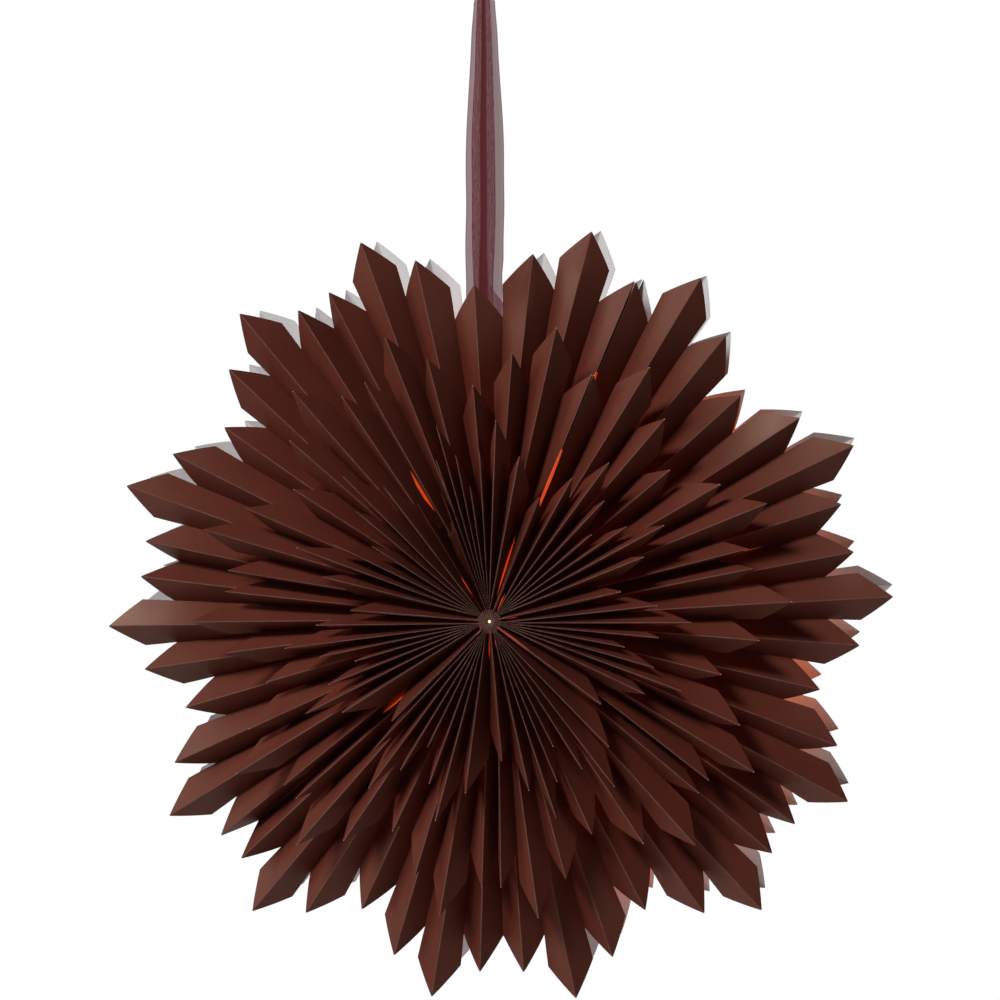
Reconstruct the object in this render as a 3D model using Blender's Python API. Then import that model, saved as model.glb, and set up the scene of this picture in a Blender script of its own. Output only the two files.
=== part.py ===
# Paper star lantern: seven pleated sections round a hub, hung on a ribbon loop with a lamp inside.
# Metres, +Z up. The origin is where the ribbon loop hangs on its hook.
# The star faces -Y: its own axis runs along Y, hub_drop below the hook and star_offset beside the ribbon.

import math

import bmesh
import bpy
from mathutils import Matrix, Vector

# Paper leaves
section_count = 7
long_leaf = 0.300
leaf_step = 0.025
gable_drop = 0.025
tier_step = 0.075
leaf_width = 0.022
apex_offset = 0.006
paper_thickness = 0.00025
touch_gap = 0.0003
closing_gap = 0.0003
edge_height_limit = 0.003

# How the tiers lie one over another, measured from the star's middle plane
channel_half_depth = 0.014
layer_gap = 0.0015
nest_share = 0.80
crest_rise_share = 0.141
hub_pleat_share = 0.45

# Where the sheets begin near the hub, measured from each section's apex
front_root = 0.004
outer_root = 0.104
root_clearance = 0.004

# Where the folds of each section settled, as shares of the angle from its middle to its seam
outer_fold_shares = (
    (-0.91, -0.62, -0.34, 0.01, 0.38, 0.69, 0.97),
    (-0.96, -0.69, -0.38, -0.05, 0.29, 0.58, 0.87),
    (-0.87, -0.58, -0.29, 0.03, 0.35, 0.63, 0.91),
    (-0.90, -0.61, -0.33, -0.01, 0.31, 0.59, 0.88),
    (-0.88, -0.59, -0.30, 0.02, 0.35, 0.63, 0.91),
    (-0.93, -0.64, -0.36, -0.03, 0.29, 0.58, 0.88),
    (-0.88, -0.61, -0.32, 0.01, 0.33, 0.61, 0.91),
)
middle_fold_shares = (
    (-0.93, -0.63, -0.37, -0.01, 0.34, 0.65, 0.95),
    (-0.97, -0.66, -0.33, 0.02, 0.38, 0.67, 0.96),
    (-0.93, -0.63, -0.32, 0.04, 0.42, 0.70, 0.96),
    (-0.96, -0.64, -0.32, 0.05, 0.41, 0.69, 0.97),
    (-0.92, -0.59, -0.31, 0.04, 0.40, 0.69, 0.97),
    (-0.93, -0.62, -0.34, 0.02, 0.37, 0.65, 0.92),
    (-0.95, -0.67, -0.39, -0.03, 0.31, 0.61, 0.90),
)
front_fold_shares = (
    (-1.0, -0.53, -0.40, -0.26, -0.13, 0.06, 0.26, 0.59, 1.0),
    (-1.0, -0.75, -0.48, -0.23, 0.0, 0.22, 0.44, 0.68, 1.0),
    (-1.0, -0.74, -0.51, -0.31, -0.10, 0.10, 0.27, 0.48, 1.0),
    (-1.0, -0.74, -0.47, -0.27, -0.06, 0.11, 0.28, 0.51, 1.0),
    (-1.0, -0.70, -0.39, -0.17, 0.08, 0.28, 0.49, 0.76, 1.0),
    (-1.0, -0.65, -0.43, -0.21, 0.0, 0.20, 0.38, 0.65, 1.0),
    (-1.0, -0.76, -0.51, -0.29, -0.03, 0.26, 0.47, 0.77, 1.0),
)

# How the unfolded paper settled: each seam's turn from its even place, as a share of a section's angle
seam_turn_shares = (0.0, 0.015, 0.020, 0.035, 0.0, -0.030, -0.025)
star_roll = math.radians(-3.0)

# Hanging
hub_drop = 0.500
star_offset = 0.012
ribbon_thickness = 0.0003
ribbon_width = 0.030
ribbon_gathered_width = 0.016
loop_inner_radius = 0.005
loop_leg = 0.010
swing_gap = 0.0005
ribbon_top_clearance = 0.006
spread_length = 0.0222
knot_drop = 0.014
knot_height = 0.008
knot_half_width = 0.007
knot_half_depth = 0.0032

# Rod, stirrup and clip
rod_radius = 0.002
rod_reach = 0.120
rod_overhang = 0.006
wire_radius = 0.0008
stirrup_straight = 0.022
wire_side_clearance = 0.002
clip_width = 0.018
clip_length = 0.012
clip_wall = 0.0004

# Lamp
bulb_radius = 0.0225
bulb_drop = 0.008
bulb_neck_radius = 0.0095
bulb_wall = 0.0008
cap_radius = 0.0068
cap_wall = 0.0004
cap_length = 0.020
cap_lip = 0.004
contact_radius = 0.0035
contact_height = 0.0015
sleeve_wall = 0.0012
thread_clearance = 0.0004
shell_wall = 0.0025
shell_top_wall = 0.003
wiring_room = 0.014
eye_radius = 0.0042
eye_height = 0.008
lamp_clearance = 0.0075
window_clearance = 0.010

# Smoothness
round_steps = 24
wire_sides = 2

# Worked out from the sizes above
section_angle = math.tau / section_count
star_axis = Vector((star_offset, 0.0, -hub_drop))
front = Vector((0.0, -1.0, 0.0))
medium_leaf = long_leaf - leaf_step
short_leaf = medium_leaf - leaf_step
panel_thickness = 2.0 * paper_thickness
closing_half_thickness = paper_thickness + closing_gap / 2.0
outer_crest_depth = channel_half_depth + leaf_width
middle_crest_at_outer_root = outer_crest_depth + nest_share * leaf_width
crest_stack = leaf_width + layer_gap
front_hub_depth = middle_crest_at_outer_root + crest_stack - crest_rise_share * outer_root

bulb_centre_height = -bulb_drop
cap_bottom = bulb_centre_height + math.sqrt(bulb_radius ** 2 - bulb_neck_radius ** 2) + bulb_neck_radius
cap_top = cap_bottom + cap_length
sleeve_inner_radius = cap_radius + thread_clearance
sleeve_outer_radius = sleeve_inner_radius + sleeve_wall
sleeve_top = cap_top + contact_height + touch_gap + sleeve_wall
shell_inner_radius = sleeve_outer_radius + touch_gap
shell_outer_radius = shell_inner_radius + shell_wall
holder_top = sleeve_top + wiring_room + shell_top_wall
middle_root = holder_top + root_clearance - apex_offset
window_half_depth = bulb_radius + lamp_clearance
window_reach = holder_top + window_clearance


def clear_scene():
    for item in list(bpy.data.objects):
        bpy.data.objects.remove(item, do_unlink=True)


def make_material(name, colour, roughness, metallic=0.0, transmission=0.0):
    material = bpy.data.materials.new(name)
    material.use_nodes = True
    shader = material.node_tree.nodes["Principled BSDF"]
    shader.inputs["Base Color"].default_value = (*colour, 1.0)
    shader.inputs["Roughness"].default_value = roughness
    shader.inputs["Metallic"].default_value = metallic
    shader.inputs["Transmission Weight"].default_value = transmission
    return material


def add_object(name, mesh, material, parent=None):
    item = bpy.data.objects.new(name, mesh)
    bpy.context.scene.collection.objects.link(item)
    mesh.materials.append(material)
    item.parent = parent
    return item


def add_empty(name, place, parent=None):
    item = bpy.data.objects.new(name, None)
    bpy.context.scene.collection.objects.link(item)
    item.location = place
    item.parent = parent
    return item


def finish_mesh(name, bm):
    bmesh.ops.recalc_face_normals(bm, faces=bm.faces)
    mesh = bpy.data.meshes.new(name)
    bm.to_mesh(mesh)
    bm.free()
    return mesh


def grow_faces(bm, faces, shift):
    """Extrudes the faces into a solid by moving their copies."""
    grown = bmesh.ops.extrude_face_region(bm, geom=faces)
    for vert in (item for item in grown["geom"] if isinstance(item, bmesh.types.BMVert)):
        vert.co += shift


def add_boolean(item, other, operation):
    step = item.modifiers.new(other.name, "BOOLEAN")
    step.operation = operation
    step.solver = "EXACT"
    step.object = other


def make_guide(name, mesh, material, parent):
    """A shape that only cuts or joins another."""
    item = add_object(name, mesh, material, parent)
    item.hide_render = True
    item.display_type = "WIRE"
    return item


def ray(azimuth):
    """Unit direction in the star's plane, clockwise from up as seen from the front."""
    return Vector((math.sin(azimuth), 0.0, math.cos(azimuth)))


# Seams and sections

def seam_azimuth(index):
    even = star_roll + section_angle * (index + 0.5)
    return even + section_angle * seam_turn_shares[index % section_count]


def seam_half_thickness(index):
    closing = index % section_count == section_count - 1
    return closing_half_thickness if closing else panel_thickness / 2.0


class Section:
    """One of the seven sections, between the seam before it and the seam after it."""

    def __init__(self, index):
        self.index = index
        turn_back = math.tau if index == 0 else 0.0
        self.first_seam = seam_azimuth((index - 1) % section_count) - turn_back
        self.last_seam = seam_azimuth(index)
        self.middle = (self.first_seam + self.last_seam) / 2.0
        self.half_angle = (self.last_seam - self.first_seam) / 2.0
        self.apex = apex_offset * ray(self.middle)

    def fold_point(self, share, reach):
        """Point of a fold in the star's plane, at this reach from the apex, or along the seam's side."""
        if abs(share) < 1.0:
            return self.apex + reach * ray(self.middle + share * self.half_angle)
        side = math.copysign(1.0, share)
        seam = self.middle + side * self.half_angle
        seam_index = self.index if side > 0.0 else self.index - 1
        inward = -side * ray(seam + math.pi / 2.0)
        along_seam = reach + apex_offset * math.cos(self.half_angle)
        return along_seam * ray(seam) + (seam_half_thickness(seam_index) + touch_gap) * inward


# Pleated sheets

def outer_crest(reach):
    return outer_crest_depth


def front_crest(reach):
    return front_hub_depth + crest_rise_share * reach


def middle_crest(reach):
    return front_crest(reach) - crest_stack


half_row = (medium_leaf, long_leaf, medium_leaf)
outer_lengths = half_row + (short_leaf,) + half_row
middle_lengths = tuple(length - tier_step for length in outer_lengths)
front_row = (short_leaf,) + outer_lengths + (short_leaf,)
front_lengths = tuple(length - 2.0 * tier_step for length in front_row)

# Each tier: name, fold shares, leaf lengths, root, crest line, root pleat share, whether it ends in a valley
tiers = (
    ("outer", outer_fold_shares, outer_lengths, outer_root, outer_crest, 1.0, True),
    ("middle", middle_fold_shares, middle_lengths, middle_root, middle_crest, 1.0, True),
    ("front", front_fold_shares, front_lengths, front_root, front_crest, hub_pleat_share, False),
)


def pleat_depth(half_spacing, width):
    return math.sqrt(max(width ** 2 - half_spacing ** 2, 0.0))


def slope_height(half_spacing, depth):
    """Height of the paper along the star's axis, where it slopes this steeply."""
    slant = math.hypot(half_spacing, depth)
    return min(paper_thickness * slant / half_spacing, edge_height_limit)


def sheet_mesh(name, section, crests, root, crest_line, root_depth_share, ends_in_valley, side):
    """Pleated sheet: straight crests and valleys, with a gable at the end of each leaf."""
    bm = bmesh.new()
    height_layer = bm.verts.layers.float.new("height")

    def add_point(share, reach, half_spacing, depth, drop):
        place = section.fold_point(share, reach)
        vert = bm.verts.new(place - side * (crest_line(reach) - drop) * Vector((0.0, 1.0, 0.0)))
        vert[height_layer] = slope_height(half_spacing, depth)
        return vert

    def spacing_at(angle_share, reach):
        return reach * math.sin(angle_share * section.half_angle / 2.0)

    shares = [share for share, length in crests]
    valleys = [(a + b) / 2.0 for a, b in zip(shares, shares[1:])]
    gaps = [b - a for a, b in zip(shares, shares[1:])]
    if ends_in_valley:
        valleys = [-1.0] + valleys + [1.0]
        gaps = [2.0 * (shares[0] + 1.0)] + gaps + [2.0 * (1.0 - shares[-1])]

    valley_roots = []
    for share, gap in zip(valleys, gaps):
        half_spacing = spacing_at(gap, root)
        depth = root_depth_share * pleat_depth(half_spacing, leaf_width)
        valley_roots.append(add_point(share, root, half_spacing, depth, depth))

    shoulders = {}

    def add_shoulder(index, reach):
        if (index, reach) not in shoulders:
            half_spacing = spacing_at(gaps[index], reach)
            depth = pleat_depth(half_spacing, leaf_width)
            shoulders[index, reach] = add_point(valleys[index], reach, half_spacing, depth, depth)

    first_valley = 0 if ends_in_valley else -1
    for position, (share, length) in enumerate(crests):
        for index in (position + first_valley, position + first_valley + 1):
            if 0 <= index < len(valleys):
                add_shoulder(index, length - gable_drop)

    for position, (share, length) in enumerate(crests):
        beside = [index for index in (position + first_valley, position + first_valley + 1)
                  if 0 <= index < len(valleys)]
        gap = min(gaps[index] for index in beside)
        root_spacing = spacing_at(gap, root)
        root_depth = root_depth_share * pleat_depth(root_spacing, leaf_width)
        tip_spacing = spacing_at(gap, length)
        tip_depth = pleat_depth(tip_spacing, leaf_width)
        crest_root = add_point(share, root, root_spacing, root_depth, 0.0)
        crest_tip = add_point(share, length, tip_spacing, tip_depth, 0.0)
        for index in beside:
            along = sorted(reach for valley, reach in shoulders
                           if valley == index and reach <= length - gable_drop)
            edge = [valley_roots[index]] + [shoulders[index, reach] for reach in along] + [crest_tip]
            for a, b in zip(edge, edge[1:]):
                bm.faces.new((crest_root, a, b))

    bmesh.ops.recalc_face_normals(bm, faces=bm.faces)
    for vert in bm.verts:
        vert.co.y -= vert[height_layer] / 2.0
    grown = bmesh.ops.extrude_face_region(bm, geom=bm.faces[:])
    for vert in (item for item in grown["geom"] if isinstance(item, bmesh.types.BMVert)):
        vert.co.y += vert[height_layer]
    bm.verts.layers.float.remove(height_layer)
    return finish_mesh(name, bm)


def add_sheets(star, material):
    for index in range(section_count):
        section = Section(index)
        for wall, side in (("front", 1.0), ("back", -1.0)):
            for tier, fold_shares, lengths, root, crest_line, root_share, ends_in_valley in tiers:
                name = "%s_wall_%s_leaves_%d" % (wall, tier, index + 1)
                crests = list(zip(fold_shares[index], lengths))
                mesh = sheet_mesh(name, section, crests, root, crest_line, root_share, ends_in_valley, side)
                add_object(name, mesh, material, star)


# Side panels

def end_valley_depth(seam, fold_shares, crest_line, reach):
    """Depth of the higher of the two valleys that lie against a seam's panel, at this reach."""
    before = Section(seam)
    after = Section((seam + 1) % section_count)
    before_turn = (1.0 - fold_shares[before.index][-1]) * before.half_angle
    after_turn = (1.0 + fold_shares[after.index][0]) * after.half_angle
    half_spacing = reach * math.sin(max(before_turn, after_turn))
    return crest_line(reach) - pleat_depth(half_spacing, leaf_width)


def panel_profile(seam):
    """Outline of a side panel, as reach along its seam and depth from the middle plane."""
    shift = apex_offset * math.cos(section_angle / 2.0)
    front_tip = front_lengths[-1]
    middle_tip = middle_lengths[-1] - gable_drop
    rim = outer_lengths[-1] - gable_drop
    middle_inner_depth = end_valley_depth(seam, middle_fold_shares, middle_crest, front_tip)
    middle_outer_depth = end_valley_depth(seam, middle_fold_shares, middle_crest, middle_tip)
    rim_depth = end_valley_depth(seam, outer_fold_shares, outer_crest, rim)
    upper = [
        (window_reach, window_half_depth),
        (front_root + shift, window_half_depth),
        (front_root + shift, front_crest(front_root)),
        (front_tip + shift, front_crest(front_tip)),
        (front_tip + shift, middle_inner_depth),
        (middle_tip + shift, middle_outer_depth),
        (middle_tip + shift, rim_depth),
        (rim + shift, rim_depth),
    ]
    lower = [(reach, -depth) for reach, depth in reversed(upper)]
    return upper + lower


def panel_mesh(name, seam, thickness, centre):
    """Flat panel on a seam: a slab round the plane that lies this far beside the seam."""
    along = ray(seam_azimuth(seam))
    across = ray(seam_azimuth(seam) + math.pi / 2.0)
    bm = bmesh.new()
    verts = []
    for reach, depth in panel_profile(seam):
        verts.append(bm.verts.new(reach * along + depth * front + (centre - thickness / 2.0) * across))
    grow_faces(bm, [bm.faces.new(verts)], thickness * across)
    return finish_mesh(name, bm)


def cylinder_mesh(name, start, end, radius, sides):
    bm = bmesh.new()
    length = (end - start).length
    bmesh.ops.create_cone(bm, cap_ends=True, segments=sides, radius1=radius, radius2=radius, depth=length)
    turn = (end - start).to_track_quat("Z", "Y").to_matrix().to_4x4()
    bmesh.ops.transform(bm, matrix=Matrix.Translation((start + end) / 2.0) @ turn, verts=bm.verts)
    return finish_mesh(name, bm)


def rod_crossing(azimuth):
    return rod_reach * math.tan(azimuth)


def rod_ends():
    left = rod_crossing(seam_azimuth(section_count - 1)) - rod_overhang
    right = rod_crossing(seam_azimuth(0)) + rod_overhang
    height = rod_reach * ray(0.0)
    return height + Vector((left, 0.0, 0.0)), height + Vector((right, 0.0, 0.0))


def add_panels(star, material):
    start, end = rod_ends()
    cutter_mesh = cylinder_mesh("rod_clearance", start, end, rod_radius + touch_gap, round_steps)
    cutter = make_guide("rod_clearance", cutter_mesh, material, star)
    for index in range(section_count - 1):
        name = "seam_panel_%d" % (index + 1)
        panel = add_object(name, panel_mesh(name, index, panel_thickness, 0.0), material, star)
        if index == 0:
            add_boolean(panel, cutter, "DIFFERENCE")
    for name, side in (("closing_panel_left", -1.0), ("closing_panel_right", 1.0)):
        centre = side * (closing_gap + paper_thickness) / 2.0
        mesh = panel_mesh(name, section_count - 1, paper_thickness, centre)
        panel = add_object(name, mesh, material, star)
        add_boolean(panel, cutter, "DIFFERENCE")


def add_closing_clip(star, material):
    """Spring clip over the loose panels' outer edge."""
    azimuth = seam_azimuth(section_count - 1)
    along = ray(azimuth)
    across = ray(azimuth + math.pi / 2.0)
    rim = outer_lengths[-1] - gable_drop + apex_offset * math.cos(section_angle / 2.0)
    inner = closing_half_thickness + touch_gap
    outer = inner + clip_wall
    bridge = rim + touch_gap
    profile = (
        (bridge - clip_length, inner),
        (bridge - clip_length, outer),
        (bridge + clip_wall, outer),
        (bridge + clip_wall, -outer),
        (bridge - clip_length, -outer),
        (bridge - clip_length, -inner),
        (bridge, -inner),
        (bridge, inner),
    )
    bm = bmesh.new()
    start = -clip_width / 2.0 * front
    verts = [bm.verts.new(reach * along + place * across + start) for reach, place in profile]
    grow_faces(bm, [bm.faces.new(verts)], clip_width * front)
    add_object("closing_clip", finish_mesh("closing_clip", bm), material, star)


# Rod and wire stirrup

def add_rod(star, material):
    start, end = rod_ends()
    add_object("hanger_rod", cylinder_mesh("hanger_rod", start, end, rod_radius, round_steps), material, star)


def add_stirrup(star, material):
    """One bent wire: a hook over the rod on each side of the ribbon, and a run through the holder's eye."""
    hook_radius = rod_radius + touch_gap + wire_radius
    arm = ribbon_width / 2.0 + star_offset + wire_side_clearance + wire_radius
    eye_centre = holder_top + eye_height / 2.0
    hook_steps = 8
    hook_start = math.radians(-70.0)
    left = []
    for step in range(hook_steps + 1):
        angle = hook_start + (math.pi - hook_start) * step / hook_steps
        left.append(Vector((-arm, hook_radius * math.cos(angle), rod_reach + hook_radius * math.sin(angle))))
    left.append(Vector((-arm, -hook_radius, rod_reach - stirrup_straight / 2.0)))
    left.append(Vector((-arm, 0.0, rod_reach - stirrup_straight)))
    left.append(Vector((-arm, 0.0, eye_centre + 2.0 * eye_radius)))
    left.append(Vector((-2.0 * eye_radius, 0.0, eye_centre)))
    right = [Vector((-point.x, point.y, point.z)) for point in reversed(left)]
    route = left + right
    curve = bpy.data.curves.new("lamp_stirrup", "CURVE")
    curve.dimensions = "3D"
    curve.bevel_depth = wire_radius
    curve.bevel_resolution = wire_sides
    curve.use_fill_caps = True
    spline = curve.splines.new("POLY")
    spline.points.add(len(route) - 1)
    for point, place in zip(spline.points, route):
        point.co = (*place, 1.0)
    item = bpy.data.objects.new("lamp_stirrup", curve)
    curve.materials.append(material)
    bpy.context.scene.collection.objects.link(item)
    item.parent = star


# Lamp

def turned_mesh(name, profile, sides=round_steps):
    """Solid turned about the lamp's upright axis from a closed outline of radius and height."""
    bm = bmesh.new()
    rings = []
    for radius, height in profile:
        if radius == 0.0:
            rings.append([bm.verts.new((0.0, 0.0, height))])
        else:
            rings.append([bm.verts.new((radius * math.cos(math.tau * step / sides),
                                        radius * math.sin(math.tau * step / sides), height))
                          for step in range(sides)])
    closed = profile[0][0] > 0.0
    pairs = list(zip(rings, rings[1:]))
    if closed:
        pairs.append((rings[-1], rings[0]))
    for low, high in pairs:
        for step in range(sides):
            after = (step + 1) % sides
            if len(low) == 1:
                bm.faces.new((low[0], high[after], high[step]))
            elif len(high) == 1:
                bm.faces.new((low[step], low[after], high[0]))
            else:
                bm.faces.new((low[step], low[after], high[after], high[step]))
    return finish_mesh(name, bm)


def smooth(item):
    item.data.shade_smooth()
    item.data.set_sharp_from_angle(angle=math.radians(30.0))


def holder_shell_profile():
    return (
        (0.0, holder_top),
        (shell_outer_radius, holder_top),
        (shell_outer_radius, cap_bottom),
        (shell_inner_radius, cap_bottom),
        (shell_inner_radius, holder_top - shell_top_wall),
        (0.0, holder_top - shell_top_wall),
    )


def add_holder(star, shell_material, sleeve_material):
    shell = add_object("lamp_holder_shell", turned_mesh("lamp_holder_shell", holder_shell_profile()),
                       shell_material, star)
    smooth(shell)
    top = holder_top * ray(0.0)
    sunk = (holder_top - shell_top_wall / 2.0) * ray(0.0)
    eye = cylinder_mesh("holder_eye", sunk, top + eye_height * ray(0.0), eye_radius, round_steps)
    eye_item = make_guide("holder_eye", eye, shell_material, star)
    reach = Vector((2.0 * eye_radius, 0.0, 0.0))
    centre = (holder_top + eye_height / 2.0) * ray(0.0)
    bore = cylinder_mesh("eye_bore", centre - reach, centre + reach, wire_radius + touch_gap, round_steps)
    bore_item = make_guide("eye_bore", bore, shell_material, star)
    add_boolean(shell, eye_item, "UNION")
    add_boolean(shell, bore_item, "DIFFERENCE")
    sleeve_profile = (
        (0.0, sleeve_top),
        (sleeve_outer_radius, sleeve_top),
        (sleeve_outer_radius, cap_bottom + cap_lip),
        (sleeve_inner_radius, cap_bottom + cap_lip),
        (sleeve_inner_radius, sleeve_top - sleeve_wall),
        (0.0, sleeve_top - sleeve_wall),
    )
    sleeve = add_object("lamp_holder_sleeve", turned_mesh("lamp_holder_sleeve", sleeve_profile),
                        sleeve_material, star)
    smooth(sleeve)


def bulb_glass_profile():
    """Round glass with a short open neck that stands in the cap."""
    arc_steps = 10
    start = math.asin(bulb_neck_radius / bulb_radius)
    stem_radius = cap_radius - cap_wall - touch_gap
    outer = []
    for step in range(arc_steps + 1):
        angle = math.pi - (math.pi - start) * step / arc_steps
        outer.append((bulb_radius * math.sin(angle), bulb_centre_height + bulb_radius * math.cos(angle)))
    outer[0] = (0.0, bulb_centre_height - bulb_radius)
    outer += [(stem_radius, cap_bottom - touch_gap), (stem_radius, cap_bottom + cap_lip)]
    inner_radius = bulb_radius - bulb_wall
    stem_bore = stem_radius - bulb_wall
    inner = [(stem_bore, cap_bottom + cap_lip), (stem_bore, cap_bottom - bulb_wall)]
    inner_start = math.asin((bulb_neck_radius - bulb_wall) / inner_radius)
    for step in range(arc_steps + 1):
        angle = inner_start + (math.pi - inner_start) * step / arc_steps
        inner.append((inner_radius * math.sin(angle), bulb_centre_height + inner_radius * math.cos(angle)))
    inner[-1] = (0.0, bulb_centre_height - inner_radius)
    return outer + inner


def add_bulb(pivot, glass_material, cap_material):
    glass = add_object("bulb_glass", turned_mesh("bulb_glass", bulb_glass_profile()), glass_material, pivot)
    smooth(glass)
    cap_inner = cap_radius - cap_wall
    cap_profile = (
        (0.0, cap_top + contact_height),
        (contact_radius, cap_top + contact_height),
        (contact_radius, cap_top),
        (cap_radius, cap_top),
        (cap_radius, cap_bottom),
        (cap_inner, cap_bottom),
        (cap_inner, cap_top - cap_wall),
        (0.0, cap_top - cap_wall),
    )
    cap = add_object("bulb_cap", turned_mesh("bulb_cap", cap_profile), cap_material, pivot)
    smooth(cap)


# Ribbon

def strip_mesh(name, stations):
    """Flat strip from cross-sections: half width, then the depth and height of each face."""
    bm = bmesh.new()
    rings = []
    for half_width, inner, outer in stations:
        corners = ((-half_width, inner), (half_width, inner), (half_width, outer), (-half_width, outer))
        rings.append([bm.verts.new((across, *place)) for across, place in corners])
    for low, high in zip(rings, rings[1:]):
        for corner in range(4):
            after = (corner + 1) % 4
            bm.faces.new((low[corner], low[after], high[after], high[corner]))
    bm.faces.new(rings[0])
    bm.faces.new(rings[-1])
    return finish_mesh(name, bm)


def arc_stations(half_width, radius, centre_height, first, last, steps):
    """Cross-sections of a strip bent round an axis along X, from one angle to another."""
    stations = []
    for step in range(steps + 1):
        angle = first + (last - first) * step / steps
        inner = (radius * math.cos(angle), centre_height + radius * math.sin(angle))
        reach = radius + ribbon_thickness
        outer = (reach * math.cos(angle), centre_height + reach * math.sin(angle))
        stations.append((half_width, inner, outer))
    return stations


def box_mesh(name, half_sizes, centre):
    bm = bmesh.new()
    bmesh.ops.create_cube(bm, size=2.0)
    bmesh.ops.scale(bm, vec=half_sizes, verts=bm.verts)
    bmesh.ops.translate(bm, vec=centre, verts=bm.verts)
    return finish_mesh(name, bm)


def add_ribbon(root, swing, star, material):
    bend_steps = 8
    half_top = ribbon_gathered_width / 2.0
    half_low = ribbon_width / 2.0
    leg_bottom = -loop_inner_radius - loop_leg
    leg_outer = loop_inner_radius + ribbon_thickness
    loop = [(half_top, (loop_inner_radius, leg_bottom), (leg_outer, leg_bottom))]
    loop += arc_stations(half_top, loop_inner_radius, -loop_inner_radius, 0.0, math.pi, bend_steps)
    loop += [(half_top, (-loop_inner_radius, leg_bottom), (-leg_outer, leg_bottom))]
    add_object("hanging_loop", strip_mesh("hanging_loop", loop), material, root)

    rod_wrap = rod_radius + touch_gap
    tail_top = -hub_drop + long_leaf + apex_offset + ribbon_top_clearance
    strands_bottom = tail_top + touch_gap
    strands_top = leg_bottom - swing_gap
    knot_height_centre = strands_top - knot_drop
    gather_end = strands_bottom + spread_length
    strands = []
    for name, side in (("ribbon_strands", -1.0), ("back_strand", 1.0)):
        places = ((half_top, loop_inner_radius, strands_top), (half_top, touch_gap, knot_height_centre),
                  (half_low, rod_wrap, gather_end), (half_low, rod_wrap, strands_bottom))
        stations = [(half, (side * depth, height), (side * (depth + ribbon_thickness), height))
                    for half, depth, height in places]
        strands.append(strip_mesh(name, stations))
    front_strand = add_object("ribbon_strands", strands[0], material, swing)
    knot_sizes = (knot_half_width, knot_half_depth, knot_height / 2.0)
    knot = box_mesh("knot", knot_sizes, (0.0, 0.0, knot_height_centre))
    for mesh in (knot, strands[1]):
        add_boolean(front_strand, make_guide(mesh.name, mesh, material, swing), "UNION")

    rod_height = -hub_drop + rod_reach
    tail = [(half_low, (-rod_wrap, tail_top), (-rod_wrap - ribbon_thickness, tail_top))]
    tail += arc_stations(half_low, rod_wrap, rod_height, math.pi, math.tau, bend_steps)
    tail += [(half_low, (rod_wrap, tail_top), (rod_wrap + ribbon_thickness, tail_top))]
    add_object("ribbon_tail", strip_mesh("ribbon_tail", tail), material, star)


clear_scene()

brown_paper = make_material("brown_paper", (0.10, 0.032, 0.024), 0.55)
sheer_ribbon = make_material("sheer_ribbon", (0.12, 0.035, 0.04), 0.45)
beech_wood = make_material("beech_wood", (0.55, 0.38, 0.22), 0.60)
steel_wire = make_material("steel_wire", (0.55, 0.55, 0.56), 0.30, metallic=1.0)
black_plastic = make_material("black_plastic", (0.02, 0.02, 0.02), 0.40)
brass = make_material("brass", (0.70, 0.50, 0.22), 0.30, metallic=1.0)
cap_metal = make_material("cap_metal", (0.65, 0.65, 0.66), 0.30, metallic=1.0)
bulb_glass_material = make_material("warm_glass", (1.0, 0.88, 0.70), 0.15, transmission=0.8)

hook = add_empty("hook", (0.0, 0.0, 0.0))
swing = add_empty("swing", (0.0, 0.0, 0.0), hook)
turn = add_empty("turn", (0.0, 0.0, 0.0), swing)
star = add_empty("star", star_axis, turn)
bulb_pivot = add_empty("bulb_pivot", (0.0, 0.0, 0.0), star)

add_sheets(star, brown_paper)
add_panels(star, brown_paper)
add_closing_clip(star, steel_wire)
add_rod(star, beech_wood)
add_stirrup(star, steel_wire)
add_holder(star, black_plastic, brass)
add_bulb(bulb_pivot, bulb_glass_material, cap_metal)
add_ribbon(hook, swing, turn, sheer_ribbon)
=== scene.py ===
# %% [markdown]
# # A pleated paper star with a lamp inside
#
# This lantern is folded from paper that is brown outside and white inside. Seven sections stand round a
# hub, each with a front and a back wall, and each wall has three sheets of pointed leaves, one over
# another. It hangs on a loop of sheer ribbon, and a small lamp inside shows through the seams.
#
# The lesson starts from the plain solids of the model. Each cell then makes one kind of piece in its
# finished form, and gives it to the body that it moves with.

# %% The plain solids and the tools
import math
from functools import partial

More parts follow.
